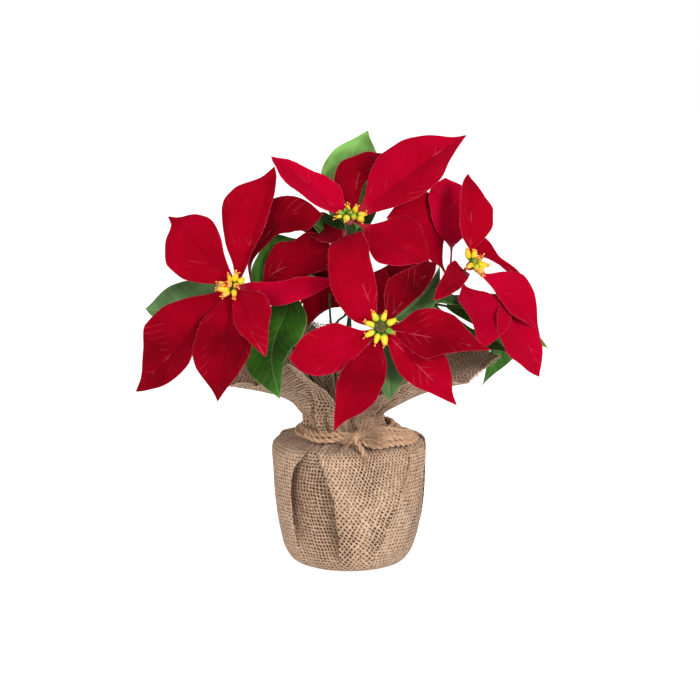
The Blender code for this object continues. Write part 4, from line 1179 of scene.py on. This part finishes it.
def thread_uv(grid, degrees, faces):
    """Where the corners of each face lie on the flat cloth, in millimetres, so that the weave follows
    it. y is the way up along the surface: the mean of a ring's columns below the neck, so that the
    rows of threads stay level there, and a column's own on the collar. x is the way round from the
    fold that starts the face's panel; on the collar it counts only the part of each step that is
    square to the columns. In a panel cut on the bias x is spread towards the neck and both turn by
    the fold's grain."""
    rows, around = grid.shape[:2]
    steps = np.linalg.norm(np.diff(grid, axis=0), axis=2)
    steps[:LEVEL_ROWS] = steps[:LEVEL_ROWS].mean(axis=1, keepdims=True)
    up = np.concatenate([np.zeros((1, around)), np.cumsum(steps, axis=0)])
    across = np.diff(np.concatenate([grid, grid[:, :1]], axis=1), axis=1)
    climb = np.sum(across * unit(np.gradient(grid, axis=0)), axis=2)
    climb[:LEVEL_ROWS] = 0.0
    level = np.sqrt(np.maximum(np.sum(across**2, axis=2) - climb**2, 0.0))
    walk = np.c_[np.zeros(rows), np.cumsum(level, axis=1)]
    i, j = faces[:, 0] // around, faces[:, 0] % around
    homes = np.array([fold.home % 360 for fold in FOLDS])
    which = np.argmin((degrees[j][None] + 0.3 - homes[:, None]) % 360.0, axis=0)
    turn = np.radians(np.array([fold.grain for fold in FOLDS])[which])
    bias = turn > 0
    first = np.searchsorted(degrees, homes)[which]
    corners = []
    for di, dj in ((0, 0), (0, 1), (1, 1), (1, 0)):
        row, column = i + di, (j + dj) % around
        x = walk[row, j + dj] - walk[row, first % around] + np.where(j < first, walk[row, -1], 0.0)
        x = np.where(bias, (x - 30.0) * (1 + 0.40 * ease(30, 84, grid[row, column, 2])), x)
        y = up[row, column] * np.where(bias, 0.84, 1.0)
        corners.append((x * np.cos(turn) + y * np.sin(turn), y * np.cos(turn) - x * np.sin(turn)))
    return np.moveaxis(np.array(corners), -1, 0).reshape(-1, 2)


def burlap_wrap(looks):
    """The whole cloth as one grid: rings of the bottom, the wall, the shoulder, the neck and the
    collar, with a worn rim."""
    degrees = cloth_columns()
    shares = np.r_[np.linspace(0, 1, WALL_ROWS), 1 + np.linspace(0, 1, COLLAR_ROWS + 1)[1:]]
    wear = 0.012 * np.sin(np.radians(23 * degrees)) + 0.010 * np.sin(np.radians(41 * degrees) + 1.0)
    shares = shares[:, None] + wear[None, :] * ease(1.6, 2.0, shares)[:, None]
    grid = cloth_point(degrees[None, :], shares)
    under = np.stack([grid[0] * (1, 1, 0) * k for k in UNDER])
    under[:, :, 2] = 0.02
    grid = np.concatenate([under, grid])
    faces = grid_faces(*grid.shape[:2], wrap=True)
    cloth = build("burlap_cloth", (grid.reshape(-1, 3), faces, {
        "corner_uv": thread_uv(grid, degrees, faces), "painted_crease_shade": painted_shade_by_folds(degrees, grid[..., 2]).ravel(),
        "open": openness(degrees, grid[..., 2]).ravel()}), looks["burlap"], "burlap_wrap")
    thick = cloth.modifiers.new("thickness", "SOLIDIFY")
    thick.thickness = CLOTH_THICK * MM
    thick.offset = -1.0
    return cloth


def frayed_rim(looks):
    """Loose threads past the collar's rim: two families that cross on a slant, broken off at uneven
    lengths, longer and meshed at the back, and a few long ones that hang free."""
    parts = []
    count = 190
    for lean in (-1.0, 1.0):
        for k in range(count):
            at = (k + chance.uniform(-0.25, 0.25)) * 360.0 / count
            long = chance.uniform(0.07, 0.15) if 95 < at < 150 else chance.uniform(0.012, 0.045)
            t = np.linspace(-0.02, long, 5)
            line = cloth_point(at + lean * t / 0.1 * 4.0, 2.0 + t) + chance.normal(0, 0.10, (5, 3))
            radius = THREAD * chance.uniform(0.7, 1.1)
            parts.append(tube(line, radius, 4, reference=(0.2, 0.3, 0.9), tone=chance.uniform(0.3, 1)))
    for k in range(4):
        at = np.linspace(96 + 4 * k, 151 - 3 * k, 60)
        level = 2.012 + 0.03 * k + 0.004 * np.sin(np.radians(at * 17 + k * 50))
        parts.append(tube(cloth_point(at, level), THREAD, 4, reference=(0.1, 0.2, 0.95), tone=0.6))
    t = np.linspace(0, 1, 9)[:, None]
    for at, long, fall in LONG_THREADS:
        root = cloth_point(at, 1.97)
        away = unit(root * (1, 1, 0))
        line = root + away * long * 0.45 * t + np.array([0, 0, -fall]) * long * t**1.4 + 0.6 * np.sin(t * 7.0)
        parts.append(tube(line, 0.13, 4, reference=(0.2, 0.3, 0.9), tone=0.2))
    return build("burlap_frayed_rim", stack(parts), looks["thread"])


def burlap_hairs(looks):
    """Stray jute hairs all over the wall and the collar."""
    count = 1700
    degrees = chance.uniform(0, 360, count)
    share = chance.uniform(0.08, 1.97, count)
    root = cloth_point(degrees, share)
    ahead = cloth_point(degrees + 0.5, share) - root
    above = cloth_point(degrees, share + 0.01) - root
    out = unit(np.cross(ahead, above))
    heading = unit(out * 0.4 + unit(chance.normal(0, 1, (count, 3))) * 0.8)
    part = fibres(root - out * 0.1, heading, chance.uniform(0.8, 2.6, count), 0.045,
                  chance.normal(0, 0.4, (count, 3)), chance.uniform(0.4, 1, count))
    return build("burlap_hairs", part, looks["thread"])


# Twine.

# Turns round the neck: how far their middle is off the pot's axis, and their radius.
TURNS = (((-0.7, -0.8), 30.2), ((-0.5, -1.2), 32.2), ((-0.3, -2.0), 34.4))
KNOT = np.array([5.0, -41.5, 92.0])
# Single runs of twine from the knot: two round to the left, one end that hangs, two over the right.
RUNS = (
    ((5, -41.5, 92), (-4, -40.2, 91.5), (-13, -38.4, 89.6), (-22, -34.4, 89.4), (-28, -28, 91.0)),
    ((5, -41.5, 93), (-4, -38.6, 94.0), (-12, -36.8, 93.0), (-21, -32.0, 92.0), (-27, -26, 93.0)),
    ((5, -41.5, 92), (5.5, -45.8, 90.5), (8.0, -49.0, 86.5), (10.6, -51.6, 81.5)),
    ((3, -41.5, 93), (13, -41.5, 97.6), (24, -36.5, 97.0), (34, -27, 93.4), (40, -12, 90.0)),
    ((4, -42.5, 92), (14, -42.5, 95.2), (25, -38.5, 94.6), (35, -29, 91.6), (41, -14, 89.0)),
)
# Frayed ends: offset from the knot, main headings, length, spread, count and radius of the fibres.
TUFTS = (
    ((2, -1, 2), ((0.8, -0.1, 0.75), (0.95, -0.1, 0.45), (0.55, -0.15, 0.95)), 19.0, 0.16, 170, 0.26),
    ((3, -1, 0), ((1.0, -0.2, 0.12), (1.0, -0.3, -0.1)), 17.0, 0.12, 80, 0.24),
    ((-1, -1, 0), ((-0.9, -0.3, -0.2), (-0.9, -0.2, 0.2)), 9.0, 0.16, 50, 0.22),
    ((5.2, -10.5, -10.0), ((0.2, -0.15, -1.0),), 5.5, 0.12, 30, 0.22),
)


def resting_height(radius, clear):
    """How high a strand's middle lies on the gathered cloth at this radius: the line of the gathers'
    crests from the wall's rim to the neck, moved outwards by clear."""
    shoulder = WRAP[6:]
    crest = shoulder[:, :2] + np.c_[shoulder[:, 2], np.zeros(len(shoulder))]
    along = np.gradient(crest, axis=0)
    outward = unit(np.stack([along[:, 1], -along[:, 0]], axis=1))
    offset = crest + clear * outward
    return np.interp(radius, offset[::-1, 0], offset[::-1, 1])


def ply(path, size, pitch, phase, loop, tone):
    """One ply of a laid strand: a tube on a helix round the strand's own line, with a whole number of
    turns where the strand closes on itself."""
    if loop:
        tangent = unit(np.roll(path, -1, 0) - np.roll(path, 1, 0))
        steps = np.linalg.norm(np.roll(path, -1, 0) - path, axis=1)
        run = np.r_[0.0, np.cumsum(steps)[:-1]]
        turns = max(1, round(steps.sum() / pitch))
        angle = phase + run / steps.sum() * turns * TAU
    else:
        tangent = unit(np.gradient(path, axis=0))
        angle = phase + distance_along(path) / pitch * TAU
    first = unit(np.cross(tangent, (0.05, 0.1, 1.0)))
    second = np.cross(tangent, first)
    line = path + size * 0.5 * (first * np.cos(angle)[:, None] + second * np.sin(angle)[:, None])
    return tube(line, size * 0.56, 7, loop=loop, reference=(0.05, 0.1, 1.0), tone=tone)


def strand(points, count, size, loop=False, pitch=9.0):
    """Two plies laid round each other along a smooth line."""
    path = smooth_line(points, count, loop)
    tones = chance.uniform(0.2, 0.9, 2)
    return [ply(path, size, pitch, phase, loop, tone) for phase, tone in zip((0.0, math.pi), tones)], path


def tuft(origin, headings, length, spread, count, radius):
    """A fan of loose fibres from one point, round a few main headings."""
    pick = chance.integers(0, len(headings), count)
    heading = unit(unit(headings)[pick] + chance.normal(0, spread, (count, 3)))
    root = origin + chance.normal(0, 0.9, (count, 3))
    size = length * chance.uniform(0.5, 1.1, count)
    bend = chance.normal(0, 0.22, (count, 3)) + np.array([0, 0, -0.25])
    return fibres(root, heading, size, radius, bend, chance.uniform(0, 1, count))


def slack_run(k):
    """One of five runs side by side from the knot round to the right, each a little lower and wider
    than the last."""
    return ((4 + 0.5 * k, -41.0 - 0.3 * k, 93.0 - 0.6 * k),
            (17, -40.5 - 0.8 * k + 0.5 * (k % 2), 92.8 - 1.5 * k),
            (30, -34.5 - 0.7 * k, 91.8 - 1.4 * k + 0.8 * (k % 3)),
            (38.5 + 0.6 * k, -22 - 0.9 * k, 89.8 - 1.1 * k),
            (41.2 + 0.9 * k, -6.0, 88.4 - 0.9 * k))


def jute_twine(looks):
    """Three closed turns round the neck, runs of slack twine that leave the knot on both sides and lie
    on the shoulder, a knot of five tilted loops, and frayed ends, with loose fibres all over."""
    parts, paths = [], []
    angle = np.linspace(0, TAU, 40, endpoint=False)
    for centre, radius in TURNS:
        wobble = 0.35 * np.sin(5 * angle + radius)
        x = centre[0] + (radius + wobble) * np.cos(angle)
        y = centre[1] + (radius + wobble) * np.sin(angle)
        z = resting_height(np.hypot(x, y), 1.7)
        made, path = strand(np.stack([x, y, z], axis=1), 230, size=1.6, loop=True)
        parts += made
        paths.append(path)
    for points in (*(slack_run(k) for k in range(5)), *RUNS):
        made, path = strand(points, 84, size=1.75)
        parts += made
        paths.append(path)
    angle = np.linspace(0, TAU, 22, endpoint=False)
    for k in range(5):
        tilt = 0.5 * k
        ring = np.stack([2.6 * np.cos(angle) * math.cos(tilt), -2.6 * np.sin(angle),
                         3.2 * np.cos(angle) * math.sin(tilt) + 1.1 * np.sin(angle + k)], axis=1)
        parts += strand(KNOT + ring, 54, size=1.2, loop=True, pitch=6.0)[0]
    for offset, *fan in TUFTS:
        parts.append(tuft(KNOT + offset, *fan))
    count = 1700
    along = np.concatenate(paths)
    root = along[chance.integers(0, len(along), count)]
    heading = unit(chance.normal(0, 1, (count, 3)) + unit(root * (1, 1, 0)) * 0.6)
    parts.append(fibres(root + heading * 0.6, heading, chance.uniform(1.2, 3.6, count), 0.075,
                        chance.normal(0, 0.4, (count, 3)), chance.uniform(0.3, 1, count)))
    return build("jute_twine_strands", stack(parts), looks["twine"], "jute_twine")


# The studio, in metres.

KEY_PLACE, KEY_AIM, KEY_SIZE, KEY_POWER = (0.95, -1.2, 0.85), (0.0, 0.0, 0.14), 0.5, 19.5
FILL_PLACE, FILL_AIM, FILL_SIZE, FILL_POWER = (-0.9, -1.3, 0.35), (0.0, 0.0, 0.12), 0.9, 12.0
CAMERA_AIM = np.array([0.0007, 0.0, 0.1424])
CAMERA_FAR, CAMERA_TILT = 1.3, math.radians(10.0)
SENSOR, IMAGE_PIXELS, FOCAL_PIXELS = 36.0, 700.0, 1963.0
FLOOR_RADIUS, FLOOR_HEIGHT, FLOOR_SIDES = 6.0, -0.0003, 64


def area_light(name, place, aim, size, power):
    """A square lamp that faces a point."""
    data = bpy.data.lights.new(name, "AREA")
    data.size = size
    data.energy = power
    lamp = bpy.data.objects.new(name, data)
    bpy.context.scene.collection.objects.link(lamp)
    lamp.location = place
    lamp.rotation_euler = (Vector(aim) - Vector(place)).to_track_quat("-Z", "Y").to_euler()


def seen_level(tree, strength, bounced, seen):
    """A light's strength: one level for what it casts and another for what the camera sees of it."""
    level = tree.nodes.new("ShaderNodeMapRange")
    level.inputs["To Min"].default_value = bounced
    level.inputs["To Max"].default_value = seen
    tree.links.new(tree.nodes.new("ShaderNodeLightPath").outputs["Is Camera Ray"], level.inputs["Value"])
    tree.links.new(level.outputs[0], strength)


def studio():
    """A white room, a pale round floor, two lamps, and the camera at the photograph's angle."""
    scene = bpy.context.scene
    scene.view_settings.view_transform = "Standard"
    world = bpy.data.worlds.new("white_studio")
    scene.world = world
    world.use_nodes = True
    backdrop = world.node_tree.nodes["Background"]
    backdrop.inputs["Color"].default_value = (1.0, 1.0, 1.0, 1.0)
    seen_level(world.node_tree, backdrop.inputs["Strength"], 0.5, 1.0)
    area_light("key", KEY_PLACE, KEY_AIM, KEY_SIZE, KEY_POWER)
    area_light("fill", FILL_PLACE, FILL_AIM, FILL_SIZE, FILL_POWER)
    mesh = bpy.data.meshes.new("floor")
    angle = np.arange(FLOOR_SIDES) * TAU / FLOOR_SIDES
    x, y = FLOOR_RADIUS * np.cos(angle), FLOOR_RADIUS * np.sin(angle)
    rim = np.stack([x, y, np.full(FLOOR_SIDES, FLOOR_HEIGHT)], axis=1)
    mesh.from_pydata(rim.tolist(), [], [list(range(FLOOR_SIDES))])
    floor = bpy.data.objects.new("floor", mesh)
    scene.collection.objects.link(floor)
    graph = Graph("pale_floor", 0.9, Specular_IOR_Level=0.1, Emission_Color=(1.0, 1.0, 1.0, 1.0))
    seen_level(graph.tree, graph.shader.inputs["Emission Strength"], 0.30, 0.85)
    mesh.materials.append(graph.finish((0.8, 0.8, 0.8)))
    data = bpy.data.cameras.new("camera")
    data.sensor_width = SENSOR
    data.lens = FOCAL_PIXELS * SENSOR / IMAGE_PIXELS
    camera = bpy.data.objects.new("camera", data)
    scene.collection.objects.link(camera)
    camera.location = CAMERA_AIM - CAMERA_FAR * np.array([0.0, math.cos(CAMERA_TILT), -math.sin(CAMERA_TILT)])
    camera.rotation_euler = (math.radians(90.0) - CAMERA_TILT, 0.0, 0.0)
    scene.camera = camera


def main():
    """Every piece in turn, the finishes of the two CAD nodes that stay, then the studio."""
    looks = {
        "velvet": velvet(), "leaf": leaf_cloth(), "tape": stem_tape(), "cup": cup_plastic(),
        "knob": knob_plastic(), "burlap": burlap(),
        "thread": jute_thread("burlap_thread", (0.42, 0.27, 0.165), (0.76, 0.58, 0.42)),
        "twine": jute_thread("jute_twine_fibre", (0.30, 0.155, 0.075), (0.72, 0.46, 0.28)),
        "fuzz": jute_thread("crimson_fuzz", (0.42, 0.01, 0.03), (0.75, 0.10, 0.16)),
    }
    for name, bloom in BLOOMS.items():
        make_bloom(name, bloom, looks)
    cloth = burlap_wrap(looks)
    fray = frayed_rim(looks)
    hair = burlap_hairs(looks)
    jute_twine(looks)
    for node, finish in (("nursery_pot", pot_plastic()), ("filler_plug", cast_filler())):
        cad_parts[node].data.materials.clear()
        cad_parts[node].data.materials.append(finish)
    studio()


main()
